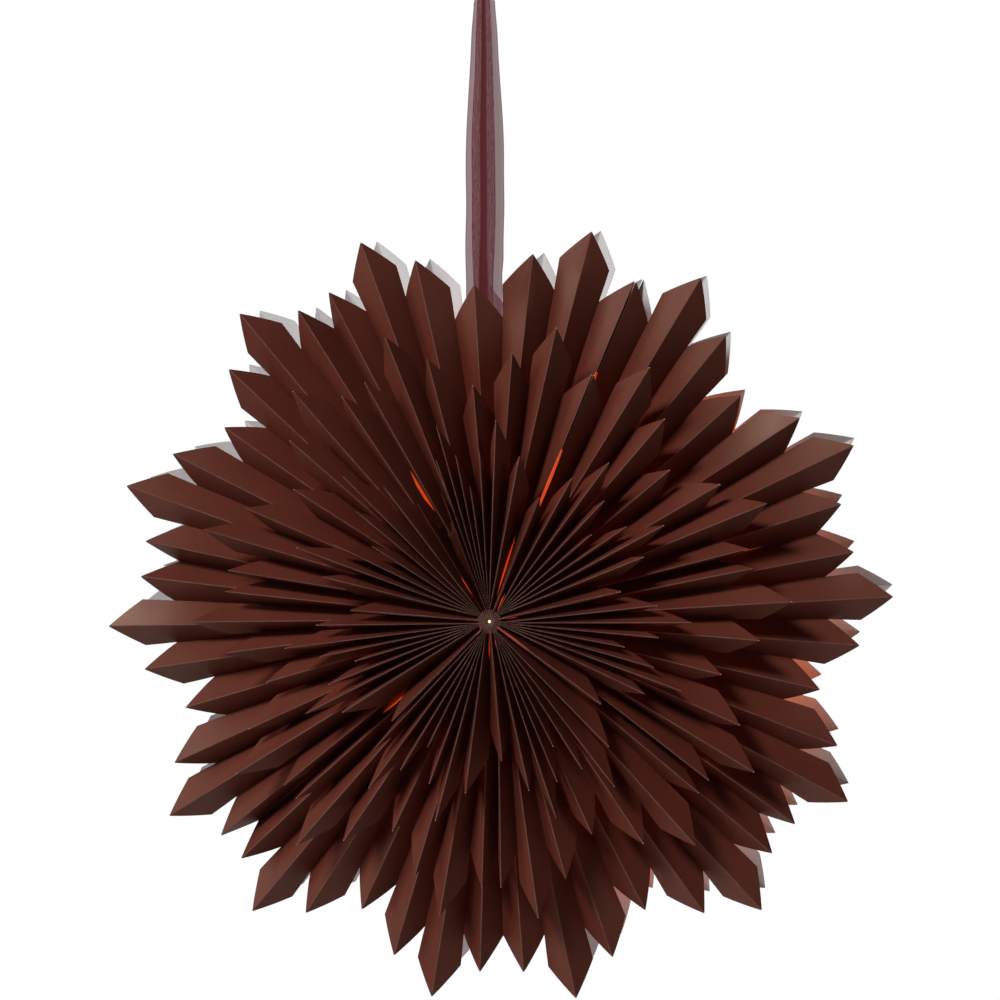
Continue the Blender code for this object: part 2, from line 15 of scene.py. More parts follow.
import bmesh
import bpy
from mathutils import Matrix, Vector


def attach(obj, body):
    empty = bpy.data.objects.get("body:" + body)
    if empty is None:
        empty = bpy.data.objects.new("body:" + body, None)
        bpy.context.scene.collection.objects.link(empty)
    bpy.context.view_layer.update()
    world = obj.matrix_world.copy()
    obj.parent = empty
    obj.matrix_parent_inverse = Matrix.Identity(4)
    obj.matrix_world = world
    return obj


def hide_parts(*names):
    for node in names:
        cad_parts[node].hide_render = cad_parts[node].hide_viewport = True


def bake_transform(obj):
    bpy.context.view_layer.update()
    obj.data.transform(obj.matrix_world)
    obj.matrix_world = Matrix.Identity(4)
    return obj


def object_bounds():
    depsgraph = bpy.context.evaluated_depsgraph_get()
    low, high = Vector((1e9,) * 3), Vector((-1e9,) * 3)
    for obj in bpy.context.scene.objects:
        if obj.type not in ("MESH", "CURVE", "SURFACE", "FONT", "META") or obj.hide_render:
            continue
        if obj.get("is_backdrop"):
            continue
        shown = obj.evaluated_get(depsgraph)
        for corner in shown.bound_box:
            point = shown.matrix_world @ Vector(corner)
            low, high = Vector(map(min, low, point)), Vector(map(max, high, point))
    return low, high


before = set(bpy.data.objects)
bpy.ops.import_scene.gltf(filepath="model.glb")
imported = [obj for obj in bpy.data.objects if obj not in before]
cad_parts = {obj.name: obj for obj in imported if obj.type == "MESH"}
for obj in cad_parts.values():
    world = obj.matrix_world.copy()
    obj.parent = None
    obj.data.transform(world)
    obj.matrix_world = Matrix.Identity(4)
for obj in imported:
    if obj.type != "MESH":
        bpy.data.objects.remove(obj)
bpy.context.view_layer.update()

# %% [markdown]
# ## Camera
#
# The picture was taken from a little to the right of the star and a little above its hub, with a long
# lens from about two metres. A camera is placed by the direction that it looks back along, by its
# distance, and by where the hub falls in the picture. The lens is stated as a focal length for a sensor
# 36 mm wide.

# %% Camera
star_centre = Vector((0.012, 0.0, -0.500))
hub_depth = 0.0609
camera_azimuth = math.radians(7.5)
camera_elevation = math.radians(5.7)
camera_distance = 2.137
focal_share = 2.800
hub_in_picture = (-0.0106, -0.1215)
sensor_width = 36.0


def link_item(name, data):
    item = bpy.data.objects.new(name, data)
    bpy.context.scene.collection.objects.link(item)
    return item


back = Vector((
    math.sin(camera_azimuth) * math.cos(camera_elevation),
    -math.cos(camera_azimuth) * math.cos(camera_elevation),
    math.sin(camera_elevation),
))
turned = (-back).to_track_quat("-Z", "Y")
right = turned @ Vector((1.0, 0.0, 0.0))
up = turned @ Vector((0.0, 1.0, 0.0))
hub = star_centre + Vector((0.0, -hub_depth, 0.0))
beside = hub_in_picture[0] / focal_share * camera_distance
above = hub_in_picture[1] / focal_share * camera_distance

camera_data = bpy.data.cameras.new("camera")
camera_data.sensor_width = sensor_width
camera_data.lens = focal_share * sensor_width
camera = link_item("camera", camera_data)
camera.rotation_mode = "QUATERNION"
camera.rotation_quaternion = turned
camera.location = hub - beside * right - above * up + camera_distance * back
bpy.context.scene.camera = camera
print("camera at", [round(value, 3) for value in camera.location])

# %% [markdown]
# ## Helpers for node trees
#
# Shapes, finishes and the surrounding are all built as node trees. A few short helpers keep them
# readable: one feeds a value or another node's result into a socket, one adds a node with its settings
# and its feeds, and the others do a sum, stretch a value to a new range, or mix two colours.

# %% Helpers for node trees
def feed(tree, socket, value):
    if isinstance(value, bpy.types.NodeSocket):
        tree.links.new(value, socket)
    else:
        socket.default_value = value


def add_node(tree, kind, feeds=None, **settings):
    """Adds a node with these settings, and feeds its sockets, each by its name or its number."""
    node = tree.nodes.new(kind)
    for name, value in settings.items():
        setattr(node, name, value)
    for socket, value in (feeds or {}).items():
        feed(tree, node.inputs[socket], value)
    return node


def maths(tree, operation, *values):
    return add_node(tree, "ShaderNodeMath", dict(enumerate(values)), operation=operation).outputs["Value"]


def map_range(tree, value, low, high, to_low, to_high):
    """Turns a value from low to high into one from to_low to to_high, and stops at those ends."""
    feeds = dict(enumerate((value, low, high, to_low, to_high)))
    return add_node(tree, "ShaderNodeMapRange", feeds, clamp=True).outputs["Result"]


def mix_colour(tree, share, *colours):
    """Mixes two colours, each of them three numbers or another node's result."""
    feeds = {"Factor": share}
    for socket, colour in zip((6, 7), colours):
        feeds[socket] = colour if isinstance(colour, bpy.types.NodeSocket) else (*colour, 1.0)
    return add_node(tree, "ShaderNodeMix", feeds, data_type="RGBA").outputs[2]


def new_tree(name, kind, inputs, outputs):
    """Starts a node tree with named sockets. Also returns what it is given and where its result goes."""
    tree = bpy.data.node_groups.new(name, kind)
    for direction, rows in (("INPUT", inputs), ("OUTPUT", outputs)):
        for socket_name, socket_kind, value in rows:
            socket = tree.interface.new_socket(
                name=socket_name, in_out=direction, socket_type="NodeSocket" + socket_kind)
            if value is not None:
                socket.default_value = value
    return tree, add_node(tree, "NodeGroupInput").outputs, add_node(tree, "NodeGroupOutput").inputs


helpers = (feed, add_node, maths, map_range, mix_colour, new_tree)
print("tree helpers:", [helper.__name__ for helper in helpers])

# %% [markdown]
# ## Light
#
# The star hung in a bright studio. A small soft light in front, at the upper left, shapes the folds,
# and a larger one on the left gives the satin paper its sheen. A weak one on the right fills the dark
# sides, and one behind lights the far wall. The surrounding shines only a little, so that the folds
# stay deep, but the camera sees it as clean white.

# %% Light
def add_light(name, place, size, power, colour):
    """A soft light of this width and height, turned towards the star."""
    data = bpy.data.lights.new(name, "AREA")
    data.shape = "RECTANGLE"
    data.size, data.size_y = size
    data.energy = power
    data.color = colour
    item = link_item(name, data)
    item.location = place
    item.rotation_mode = "QUATERNION"
    item.rotation_quaternion = (star_centre - Vector(place)).to_track_quat("-Z", "Y")


add_light("top_softbox", (-1.0, -1.75, 1.2), (0.55, 0.45), 70.0, (1.0, 0.98, 0.96))
add_light("left_softbox", (-2.0, -0.9, 0.1), (0.9, 1.2), 24.0, (1.0, 0.95, 0.90))
add_light("back_softbox", (-0.5, 2.2, 0.4), (1.4, 1.2), 40.0, (1.0, 0.97, 0.95))
add_light("right_fill", (2.2, -1.6, -0.1), (1.2, 1.2), 6.0, (1.0, 0.97, 0.95))

surround_light = 0.02
surround_seen = 1.0
white = (1.0, 1.0, 1.0, 1.0)
world = bpy.data.worlds.new("studio")
bpy.context.scene.world = world
world.use_nodes = True
world_tree = world.node_tree
surround = world_tree.nodes["Background"]
feed(world_tree, surround.inputs["Color"], white)
feed(world_tree, surround.inputs["Strength"], surround_light)
shown = add_node(world_tree, "ShaderNodeBackground", {"Color": white, "Strength": surround_seen})
either = add_node(world_tree, "ShaderNodeMixShader", {
    "Fac": add_node(world_tree, "ShaderNodeLightPath").outputs["Is Camera Ray"],
    1: surround.outputs["Background"],
    2: shown.outputs["Background"],
})
feed(world_tree, world_tree.nodes["World Output"].inputs["Surface"], either.outputs["Shader"])
bpy.context.scene.view_settings.view_transform = "Standard"
print("lights:", len(bpy.data.lights), "and a surrounding of", surround_light)

# %% [markdown]
# ## Floor
#
# A pale floor lies well below the star.

# %% Floor
floor_height = -1.25
floor_radius = 1.3
floor_steps = 96


def finished_mesh(name, bm):
    mesh = bpy.data.meshes.new(name)
    bm.to_mesh(mesh)
    bm.free()
    return mesh


bm = bmesh.new()
bmesh.ops.create_circle(bm, cap_ends=True, segments=floor_steps, radius=floor_radius)
bmesh.ops.translate(bm, vec=(0.0, 0.0, floor_height), verts=bm.verts)
floor = link_item("floor", finished_mesh("floor", bm))
floor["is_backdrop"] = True
print("floor at", floor_height)

# %% [markdown]
# ## Finishes: the paper's fibre
#
# An effect that several papers share is a node group, so that each paper can place it with values of
# its own. The first is the fibre that all paper has: fine noise, with broad clouds behind it. Short
# helpers read the place on the object and the notes that a mesh carries, and measure noise or a
# distance there.

# %% Finishes: the paper's fibre
def object_place(tree):
    return add_node(tree, "ShaderNodeTexCoord").outputs["Object"]


def noted(tree, name):
    """A note that the mesh carries, for a finish to read."""
    return add_node(tree, "ShaderNodeAttribute", attribute_name=name).outputs["Fac"]


def noise(tree, place, size, detail):
    feeds = {"Vector": place, "Scale": size, "Detail": detail}
    return add_node(tree, "ShaderNodeTexNoise", feeds).outputs["Fac"]


def distance(tree, place, centre):
    feeds = {0: place, 1: centre}
    return add_node(tree, "ShaderNodeVectorMath", feeds, operation="DISTANCE").outputs["Value"]


fibre, given, result = new_tree("paper_fibre", "ShaderNodeTree", (
    ("Fibre Size", "Float", 1400.0),
    ("Cloud Size", "Float", 22.0),
), (
    ("Fibre", "Float", None),
    ("Cloud", "Float", None),
))
place = object_place(fibre)
feed(fibre, result["Fibre"], noise(fibre, place, given["Fibre Size"], 3.0))
feed(fibre, result["Cloud"], noise(fibre, place, given["Cloud Size"], 2.0))
print(fibre.name, "has", len(fibre.nodes), "nodes")

# %% [markdown]
# ## Finishes: fold wear with painted highlight, and painted lamp glow
#
# The pale line runs along the folds. It is partly wear, where the coating breaks as the paper bends and
# its pale core shows in patches, and partly a painted highlight along each crest. A note on the sheets
# says how far a point is from its crest, so the line follows every fold. The lamp's glow is painted
# light: a share that fades with the distance from the lamp, which the finishes give out as emission. It
# is centred a little to the right of the hub, because the real star is lit a little further on that side.

# %% Finishes: fold wear with painted highlight, and painted lamp glow
fold_wear_and_highlight, given, result = new_tree("fold_wear_and_highlight", "ShaderNodeTree", (
    ("Line Width", "Float", 0.0008),
    ("Patch Size", "Float", 160.0),
), (
    ("Wear And Highlight", "Float", None),
))
inner_width = maths(fold_wear_and_highlight, "MULTIPLY", given["Line Width"], 0.5)
# Pale line along each crest: partly wear, partly painted highlight
line = map_range(fold_wear_and_highlight, noted(fold_wear_and_highlight, "from_crest"), inner_width, given["Line Width"], 1.0, 0.0)
patches = noise(fold_wear_and_highlight, object_place(fold_wear_and_highlight), given["Patch Size"], 2.0)
patchy_share = map_range(fold_wear_and_highlight, patches, 0.30, 0.62, 0.35, 1.0)
feed(fold_wear_and_highlight, result["Wear And Highlight"], maths(fold_wear_and_highlight, "MULTIPLY", line, patchy_share))

# Painted light: the lamp's glow is a share painted on the paper, fading with the distance from this centre
glow_centre = star_centre + Vector((0.034, 0.0, -0.012))
lamp_glow, given, result = new_tree("lamp_glow", "ShaderNodeTree", (
    ("Bright Reach", "Float", 0.08),
    ("Dark Reach", "Float", 0.30),
), (
    ("Glow", "Float", None),
))
from_lamp = distance(lamp_glow, object_place(lamp_glow), glow_centre)
feed(lamp_glow, result["Glow"], map_range(
    lamp_glow, from_lamp, given["Bright Reach"], given["Dark Reach"], 1.0, 0.0))
print("shared effects:", [tree.name for tree in (fibre, fold_wear_and_highlight, lamp_glow)])

# %% [markdown]
# ## Finishes: starting a material
#
# Each finish is one Principled shader whose inputs are fed by name. Short helpers start such a
# material, place a node group in it with the paper's own values, and turn a height into the fine relief
# of a Normal.

# %% Finishes: starting a material
bump_distance = 0.0002


def new_material(name):
    material = bpy.data.materials.new(name)
    material.use_nodes = True
    return material, material.node_tree, material.node_tree.nodes["Principled BSDF"].inputs


def place_group(tree, group, feeds):
    return add_node(tree, "ShaderNodeGroup", feeds, node_tree=group).outputs


def bump(tree, height, strength):
    feeds = {"Height": height, "Strength": strength, "Distance": bump_distance}
    return add_node(tree, "ShaderNodeBump", feeds).outputs["Normal"]


def set_finish(tree, inputs, values):
    for name, value in values.items():
        feed(tree, inputs[name], value)


print("relief, millimetres:", 1000.0 * bump_distance)

# %% [markdown]
# ## Finishes: the brown outside
#
# The outside is a satin brown coating. It is dark and a little red, and soft highlights slide over it,
# so its roughness is middling and varies in broad clouds. Round the hub its colour is painted darker, as
# painted shade where the folds are pressed close together. Three places show more than the coat. The
# folds are painted pale along their crests, partly wear and partly a painted highlight. The cut tips show
# the paper's core in patches. Where the lamp stands close behind, a dull red painted glow is given out as
# emission. The sheets carry two notes for this: cut_tip marks the faces at a tip, and another note marks
# the faces where a painted glow stands in for the lamp's light through a fold.

# %% Finishes: the brown outside
black = (0.0, 0.0, 0.0)
# Painted shade round the hub: full inside the first radius, none beyond the second
shade_full_radius = 0.062
shade_end_radius = 0.122
hub_shade_share = 0.45

brown_paper, tree, inputs = new_material("brown_paper")
grain = place_group(tree, fibre, {"Fibre Size": 620.0, "Cloud Size": 16.0})
wear_and_highlight = place_group(tree, fold_wear_and_highlight, {"Line Width": 0.00045, "Patch Size": 150.0})["Wear And Highlight"]
glow = place_group(tree, lamp_glow, {"Bright Reach": 0.05, "Dark Reach": 0.26})["Glow"]

coat = mix_colour(tree, grain["Cloud"], (0.074, 0.0165, 0.0105), (0.094, 0.0215, 0.0140))
mottle = maths(tree, "MULTIPLY", map_range(tree, grain["Fibre"], 0.35, 0.65, 0.0, 1.0), 0.30)
coat = mix_colour(tree, mottle, coat, (0.048, 0.0100, 0.0065))
# Painted shade: the coat is painted darker towards the hub, where the pressed folds would keep the light
# out
flattened = add_node(tree, "ShaderNodeVectorMath", {
    0: object_place(tree), 1: (1.0, 0.0, 1.0)}, operation="MULTIPLY").outputs["Vector"]
from_axis = distance(tree, flattened, (star_centre.x, 0.0, star_centre.z))
painted_hub_shade = map_range(tree, from_axis, shade_full_radius, shade_end_radius, hub_shade_share, 0.0)
coat = mix_colour(tree, painted_hub_shade, coat, black)
# Painted pale along the crests: partly wear, partly painted highlight
coat = mix_colour(tree, maths(tree, "MULTIPLY", wear_and_highlight, 0.13), coat, (0.34, 0.28, 0.26))

core_patches = map_range(tree, grain["Cloud"], 0.42, 0.55, 0.0, 0.9)
shown_core = maths(tree, "MULTIPLY", noted(tree, "cut_tip"), core_patches)
satin = map_range(tree, grain["Cloud"], 0.3, 0.7, 0.42, 0.54)
# Painted light: a dull red emission near the lamp stands in for its light shining through the paper
painted_shine_through = mix_colour(tree, glow, black, (0.0030, 0.0003, 0.0001))
# Painted light: faces in a glow strip give out this lamp-coloured emission
painted_lamp_light = mix_colour(tree, grain["Cloud"], (0.50, 0.030, 0.004), (0.72, 0.066, 0.007))
set_finish(tree, inputs, {
    "Base Color": mix_colour(tree, shown_core, coat, (0.40, 0.31, 0.27)),
    "Roughness": maths(tree, "MULTIPLY_ADD", wear_and_highlight, 0.40, satin),
    "Specular IOR Level": 0.30,
    "Specular Tint": (1.0, 0.76, 0.60, 1.0),
    "Emission Color": mix_colour(tree, noted(tree, "painted_glow_strip"), painted_shine_through, painted_lamp_light),
    "Emission Strength": 1.0,
    "Normal": bump(tree, grain["Fibre"], 0.12),
})
print(brown_paper.name, "has", len(tree.nodes), "nodes")

# %% [markdown]
# ## Finishes: the white inside and the cut edge
#
# The inside is bare white paper, though its colour is painted a grey, darker than white paper, as
# painted shade from the front wall. Near the lamp a painted orange glow is given out as emission, and it
# fades away towards the tips. The cut edge of a sheet shows its pale core. Where a sheet ends in a fold
# the edge lies along the crest, and there the coat covers it, so close to a crest it turns dark.

# %% Finishes: the white inside and the cut edge
white_paper, tree, inputs = new_material("white_paper")
grain = place_group(tree, fibre, {"Fibre Size": 1100.0, "Cloud Size": 14.0})
glow = place_group(tree, lamp_glow, {"Bright Reach": 0.195, "Dark Reach": 0.268})["Glow"]
set_finish(tree, inputs, {
    # Painted shade: the base colour is a grey, darker than white paper, standing in for the front wall's
    # shade
    "Base Color": mix_colour(tree, grain["Cloud"], (0.40, 0.40, 0.41), (0.47, 0.47, 0.48)),
    "Roughness": 0.75,
    "Specular IOR Level": 0.25,
    # Painted light: an orange emission near the lamp stands in for its light falling on the inside
    "Emission Color": mix_colour(tree, maths(tree, "POWER", glow, 1.4), black, (0.31, 0.050, 0.006)),
    "Emission Strength": 1.0,
    "Normal": bump(tree, grain["Fibre"], 0.15),
})

cut_edge, tree, inputs = new_material("cut_edge")
grain = place_group(tree, fibre, {"Fibre Size": 1600.0, "Cloud Size": 60.0})
core = mix_colour(tree, grain["Cloud"], (0.22, 0.12, 0.10), (0.50, 0.36, 0.32))
at_fold = map_range(tree, noted(tree, "from_crest"), 0.0004, 0.0008, 1.0, 0.0)
set_finish(tree, inputs, {
    "Base Color": mix_colour(tree, at_fold, core, (0.070, 0.020, 0.014)),
    "Roughness": 0.85,
})
print("papers:", brown_paper.name, white_paper.name, cut_edge.name)

# %% [markdown]
# ## Sizes of the star
#
# The same sizes as in the plain model. A section lies between two seams, and its folds fan out from an
# apex a little way from the hub. The leaves grow and shrink in even steps, from short over medium to
# long and back. The middle sheet's leaves are one tier step shorter than the outer sheet's, and the
# front sheet's two.

# %% Sizes of the star
section_count = 7
long_leaf = 0.300
leaf_step = 0.025
gable_drop = 0.025
tier_step = 0.075
leaf_width = 0.022
apex_offset = 0.006
paper_thickness = 0.00028
seam_gap = 0.00027
channel_half_depth = 0.014
layer_gap = 0.0015
nest_share = 0.80
crest_rise_share = 0.141
outer_root = 0.104
middle_root = 0.0599
front_root = 0.0015
hub_pleat_share = 0.45

section_angle = math.tau / section_count
medium_leaf = long_leaf - leaf_step
short_leaf = medium_leaf - leaf_step
outer_crest_depth = channel_half_depth + leaf_width
crest_stack = leaf_width + layer_gap
nested_depth = outer_crest_depth + nest_share * leaf_width
front_hub_depth = nested_depth + crest_stack - crest_rise_share * outer_root
half_row = (medium_leaf, long_leaf, medium_leaf)
outer_lengths = half_row + (short_leaf,) + half_row
middle_lengths = tuple(length - tier_step for length in outer_lengths)
front_row = (short_leaf,) + outer_lengths + (short_leaf,)
front_lengths = tuple(length - 2.0 * tier_step for length in front_row)
print("leaves, metres:", [round(length, 3) for length in (long_leaf, medium_leaf, short_leaf)])

# %% [markdown]
# ## Where each fold settled
#
# Each fold settled where the unfolded paper let it, and an even spacing would look like a machine's. So
# its place is a share of the angle from the section's middle to its seam: -1 at the seam before it, 0
# in the middle, 1 at the seam after it. Each row below is one section, from the top section on,
# clockwise.

# %% Where each fold settled
outer_fold_shares = (
    (-0.91, -0.62, -0.34, 0.01, 0.38, 0.69, 1.0),
    (-1.0, -0.69, -0.38, -0.05, 0.29, 0.58, 0.87),
    (-0.87, -0.58, -0.29, 0.03, 0.35, 0.63, 0.91),
    (-0.90, -0.61, -0.33, -0.01, 0.31, 0.59, 0.88),
    (-0.88, -0.59, -0.30, 0.02, 0.35, 0.63, 0.91),
    (-0.93, -0.64, -0.36, -0.03, 0.29, 0.58, 0.905),
    (-0.905, -0.61, -0.32, 0.01, 0.33, 0.61, 0.91),
)
middle_fold_shares = (
    (-0.93, -0.63, -0.37, -0.01, 0.34, 0.65, 1.0),
    (-1.0, -0.66, -0.33, 0.02, 0.38, 0.67, 0.96),
    (-0.93, -0.63, -0.32, 0.04, 0.42, 0.70, 0.96),
    (-0.96, -0.64, -0.32, 0.05, 0.41, 0.69, 0.97),
    (-0.92, -0.59, -0.31, 0.04, 0.40, 0.69, 0.97),
    (-0.93, -0.62, -0.34, 0.02, 0.37, 0.65, 0.92),
    (-0.95, -0.67, -0.39, -0.03, 0.31, 0.61, 0.90),
)
front_fold_shares = (
    (-1.0, -0.53, -0.40, -0.26, -0.13, 0.06, 0.26, 0.59, 1.0),
    (-1.0, -0.75, -0.48, -0.23, 0.0, 0.22, 0.44, 0.68, 1.0),
    (-1.0, -0.74, -0.51, -0.31, -0.10, 0.10, 0.27, 0.48, 1.0),
    (-1.0, -0.74, -0.47, -0.27, -0.06, 0.11, 0.28, 0.51, 1.0),
    (-1.0, -0.70, -0.39, -0.17, 0.08, 0.28, 0.49, 0.76, 1.0),
    (-1.0, -0.65, -0.43, -0.21, 0.0, 0.20, 0.38, 0.65, 1.0),
    (-1.0, -0.76, -0.51, -0.29, -0.03, 0.26, 0.47, 0.77, 1.0),
)
print("folds of an outer, a middle and a front sheet:",
      [len(rows[0]) for rows in (outer_fold_shares, middle_fold_shares, front_fold_shares)])

# %% [markdown]
# ## Seams and sections
#
# The seams have turned a little too, and the end folds of the front sheets lean away from them, most of
# all at the seam where the star was closed. A section knows its two seams and its apex, and finds a
# point on a fold as an azimuth and a reach. A fold that lies on a seam runs beside its panel instead of
# inside it.

# %% Seams and sections
seam_turn_shares = (0.0, 0.015, 0.020, 0.035, 0.0, -0.030, -0.025)
star_roll = math.radians(-3.0)

# Leans in degrees: of the front sheets' end folds at the six glued seams and on both sides of the closing
# seam, and of the other sheets' end folds where they lie on a seam
seam_lean = (-0.35, 0.4, -2.4, -5.0, -4.6, -3.5)
closing_lean = (0.2, 10.6)
front_end_lean = tuple(zip((closing_lean[1],) + seam_lean, seam_lean + (closing_lean[0],)))
crease_lean = (0.08, -0.08)


def ray(azimuth):
    """Direction in the star's plane, clockwise from up as seen from the front."""
    return Vector((math.sin(azimuth), 0.0, math.cos(azimuth)))


def seam_azimuth(index):
    even = star_roll + section_angle * (index + 0.5)
    return even + section_angle * seam_turn_shares[index % section_count]


class Section:
    """One of the seven sections, between the seam before it and the seam after it."""

    def __init__(self, index):
        self.index = index
        turn_back = math.tau if index == 0 else 0.0
        self.first_seam = seam_azimuth((index - 1) % section_count) - turn_back
        self.last_seam = seam_azimuth(index)
        self.middle = (self.first_seam + self.last_seam) / 2.0
        self.half_angle = (self.last_seam - self.first_seam) / 2.0
        self.apex = apex_offset * ray(self.middle)

    def fold(self, share, reach, lean=0.0):
        """Azimuth and reach from the apex of a point on a fold. A fold at a seam runs beside its panel."""
        if abs(share) < 1.0:
            return self.middle + share * self.half_angle, reach
        side = math.copysign(1.0, share)
        seam = self.middle + side * self.half_angle + lean
        along = reach + apex_offset * math.cos(self.half_angle)
        point = along * ray(seam) - side * seam_gap * ray(seam + math.pi / 2.0) - self.apex
        azimuth = math.atan2(point.x, point.z)
        turns = round((seam - azimuth) / math.tau)
        return azimuth + turns * math.tau, math.hypot(point.x, point.z)


sections = [Section(index) for index in range(section_count)]
print("seams, degrees:", [round(math.degrees(section.last_seam), 1) for section in sections])

# %% [markdown]
# ## Giving paper its thickness
#
# All the paper is made as a sheet without thickness, and one stretch of nodes makes it real paper. It
# pushes a copy of the faces out for the brown outside, turns the sheet itself over for the white
# inside, and closes the edge between them. Corners of more than 15 degrees stay crisp. A Solidify
# modifier would do much the same, but here the faces' own notes and finishes go with them.

# %% Giving paper its thickness
merge_distance = 0.000004
crisp_angle = math.radians(15.0)
paper_sockets = (
    ("Thickness", "Float", paper_thickness),
    ("Outside", "Material", None),
    ("Inside", "Material", None),
    ("Edge", "Material", None),
)


def merge_points(tree, geometry):
    feeds = {"Geometry": geometry, "Distance": merge_distance}
    return add_node(tree, "GeometryNodeMergeByDistance", feeds).outputs["Geometry"]


def thicken(tree, sheet, given):
    """Turns a sheet into paper, with the thickness and the three finishes that the tree is given."""
    grown = add_node(tree, "GeometryNodeExtrudeMesh", {
        "Mesh": sheet, "Offset Scale": given["Thickness"], "Individual": False}, mode="FACES")
    painted = grown.outputs["Mesh"]
    for part, finish in (("Top", "Outside"), ("Side", "Edge")):
        painted = add_node(tree, "GeometryNodeSetMaterial", {
            "Geometry": painted, "Selection": grown.outputs[part], "Material": given[finish],
        }).outputs["Geometry"]
    turned_over = add_node(tree, "GeometryNodeFlipFaces", {"Mesh": sheet})
    lining = add_node(tree, "GeometryNodeSetMaterial", {
        "Geometry": turned_over.outputs["Mesh"], "Material": given["Inside"]})
    together = add_node(tree, "GeometryNodeJoinGeometry")
    for part in (painted, lining.outputs["Geometry"]):
        feed(tree, together.inputs["Geometry"], part)
    corner = add_node(tree, "GeometryNodeInputMeshEdgeAngle").outputs["Unsigned Angle"]
    marked = add_node(tree, "GeometryNodeStoreNamedAttribute", {
        "Geometry": merge_points(tree, together.outputs["Geometry"]),
        "Name": "sharp_edge",
        "Value": maths(tree, "GREATER_THAN", corner, crisp_angle),
    }, data_type="BOOLEAN", domain="EDGE")
    smooth = add_node(tree, "GeometryNodeSetShadeSmooth", {"Geometry": marked.outputs["Geometry"]})
    whole = add_node(tree, "GeometryNodeRealizeInstances", {"Geometry": smooth.outputs["Geometry"]})
    return whole.outputs["Geometry"]


print("paper, millimetres:", round(1000.0 * paper_thickness, 2))

# %% [markdown]
# ## Keeping what a tree makes
#
# A geometry tree works as a modifier on an object. Its inputs are set by their identifiers, the result
# is read from the evaluated object as a plain mesh, and the modifier goes, so that only the mesh is
# left.

# %% Keeping what a tree makes
def make_with_nodes(item, tree, values):
    """Runs a geometry tree on the item with these inputs, and keeps the result as its plain mesh."""
    step = item.modifiers.new("make", "NODES")
    step.node_group = tree
    for socket in tree.interface.items_tree:
        if socket.item_type == "SOCKET" and socket.in_out == "INPUT" and socket.name in values:
            step[socket.identifier] = values[socket.name]
    depsgraph = bpy.context.evaluated_depsgraph_get()
    made = bpy.data.meshes.new_from_object(
        item.evaluated_get(depsgraph), preserve_all_data_layers=True, depsgraph=depsgraph)
    item.modifiers.clear()
    old = item.data
    item.data = made
    bpy.data.meshes.remove(old)
    made.name = item.name


print("named inputs that every paper tree has:", [name for name, kind, value in paper_sockets])

# %% [markdown]
# ## Folding a sheet with Geometry Nodes
#
# A pleated sheet follows a rule, so a node tree folds it. It starts from the sheet laid out flat, where
# a point's place says its azimuth and its reach from the hub, with two notes on each point: how high it
# lies in its pleat, from 0 in the valley to 1 on the crest, and half the angle between the two crests
# beside it. The paper keeps its width, so the wider two crests stand apart, the shallower the pleat:
# depth squared is width squared less half the spacing squared. A soft ripple grows towards the tips,
# because no paper lies quite flat.

# %% Folding a sheet with Geometry Nodes
ripples_per_radian = 9.0
ripples_per_metre = 16.0
calm_reach = 0.02
rippled_reach = 0.20


def point_note(tree, name):
    feeds = {"Name": name}
    return add_node(tree, "GeometryNodeInputNamedAttribute", feeds, data_type="FLOAT").outputs["Attribute"]


fold_tree, given, result = new_tree("fold_pleated_sheet", "GeometryNodeTree", (
    ("Flat Sheet", "Geometry", None),
    ("Apex X", "Float", 0.0),
    ("Apex Z", "Float", 0.0),
    ("Crest At Hub", "Float", 0.06),
    ("Crest Rise", "Float", 0.1),
    ("Leaf Width", "Float", 0.022),
    ("Root Reach", "Float", 0.0),
    ("Full Reach", "Float", 0.1),
    ("Root Pleat", "Float", 1.0),
    ("Facing", "Float", 1.0),
    ("Waviness", "Float", 0.001),
    ("Seed", "Float", 0.0),
) + paper_sockets, (
    ("Folded Sheet", "Geometry", None),
))
reckon = partial(maths, fold_tree)
flat_place = add_node(fold_tree, "ShaderNodeSeparateXYZ", {
    "Vector": add_node(fold_tree, "GeometryNodeInputPosition").outputs["Position"]})
azimuth, reach = flat_place.outputs["X"], flat_place.outputs["Z"]

half_spacing = reckon("MULTIPLY", reach, reckon("SINE", point_note(fold_tree, "half_gap")))
width_squared = reckon("MULTIPLY", given["Leaf Width"], given["Leaf Width"])
depth_squared = reckon("SUBTRACT", width_squared, reckon("MULTIPLY", half_spacing, half_spacing))
pleat = reckon("SQRT", reckon("MAXIMUM", depth_squared, 0.0))
fullness = map_range(fold_tree, reach, given["Root Reach"], given["Full Reach"], given["Root Pleat"], 1.0)
drop = reckon("SUBTRACT", 1.0, point_note(fold_tree, "lift"))
below_crest = reckon("MULTIPLY", drop, reckon("MULTIPLY", pleat, fullness))
crest = reckon("MULTIPLY_ADD", given["Crest Rise"], reach, given["Crest At Hub"])

spread = add_node(fold_tree, "ShaderNodeCombineXYZ", {
    "X": reckon("MULTIPLY", azimuth, ripples_per_radian),
    "Z": reckon("MULTIPLY", reach, ripples_per_metre),
})
ripple = add_node(fold_tree, "ShaderNodeTexNoise", {
    "Vector": spread.outputs["Vector"],
    "W": given["Seed"],
    "Scale": 1.0,
    "Detail": 1.0,
}, noise_dimensions="4D")
growing = map_range(fold_tree, reach, calm_reach, rippled_reach, 0.0, 1.0)
wave = reckon("MULTIPLY", reckon("SUBTRACT", ripple.outputs["Fac"], 0.5),
              reckon("MULTIPLY", given["Waviness"], growing))
out_depth = reckon("ADD", reckon("SUBTRACT", crest, below_crest), wave)

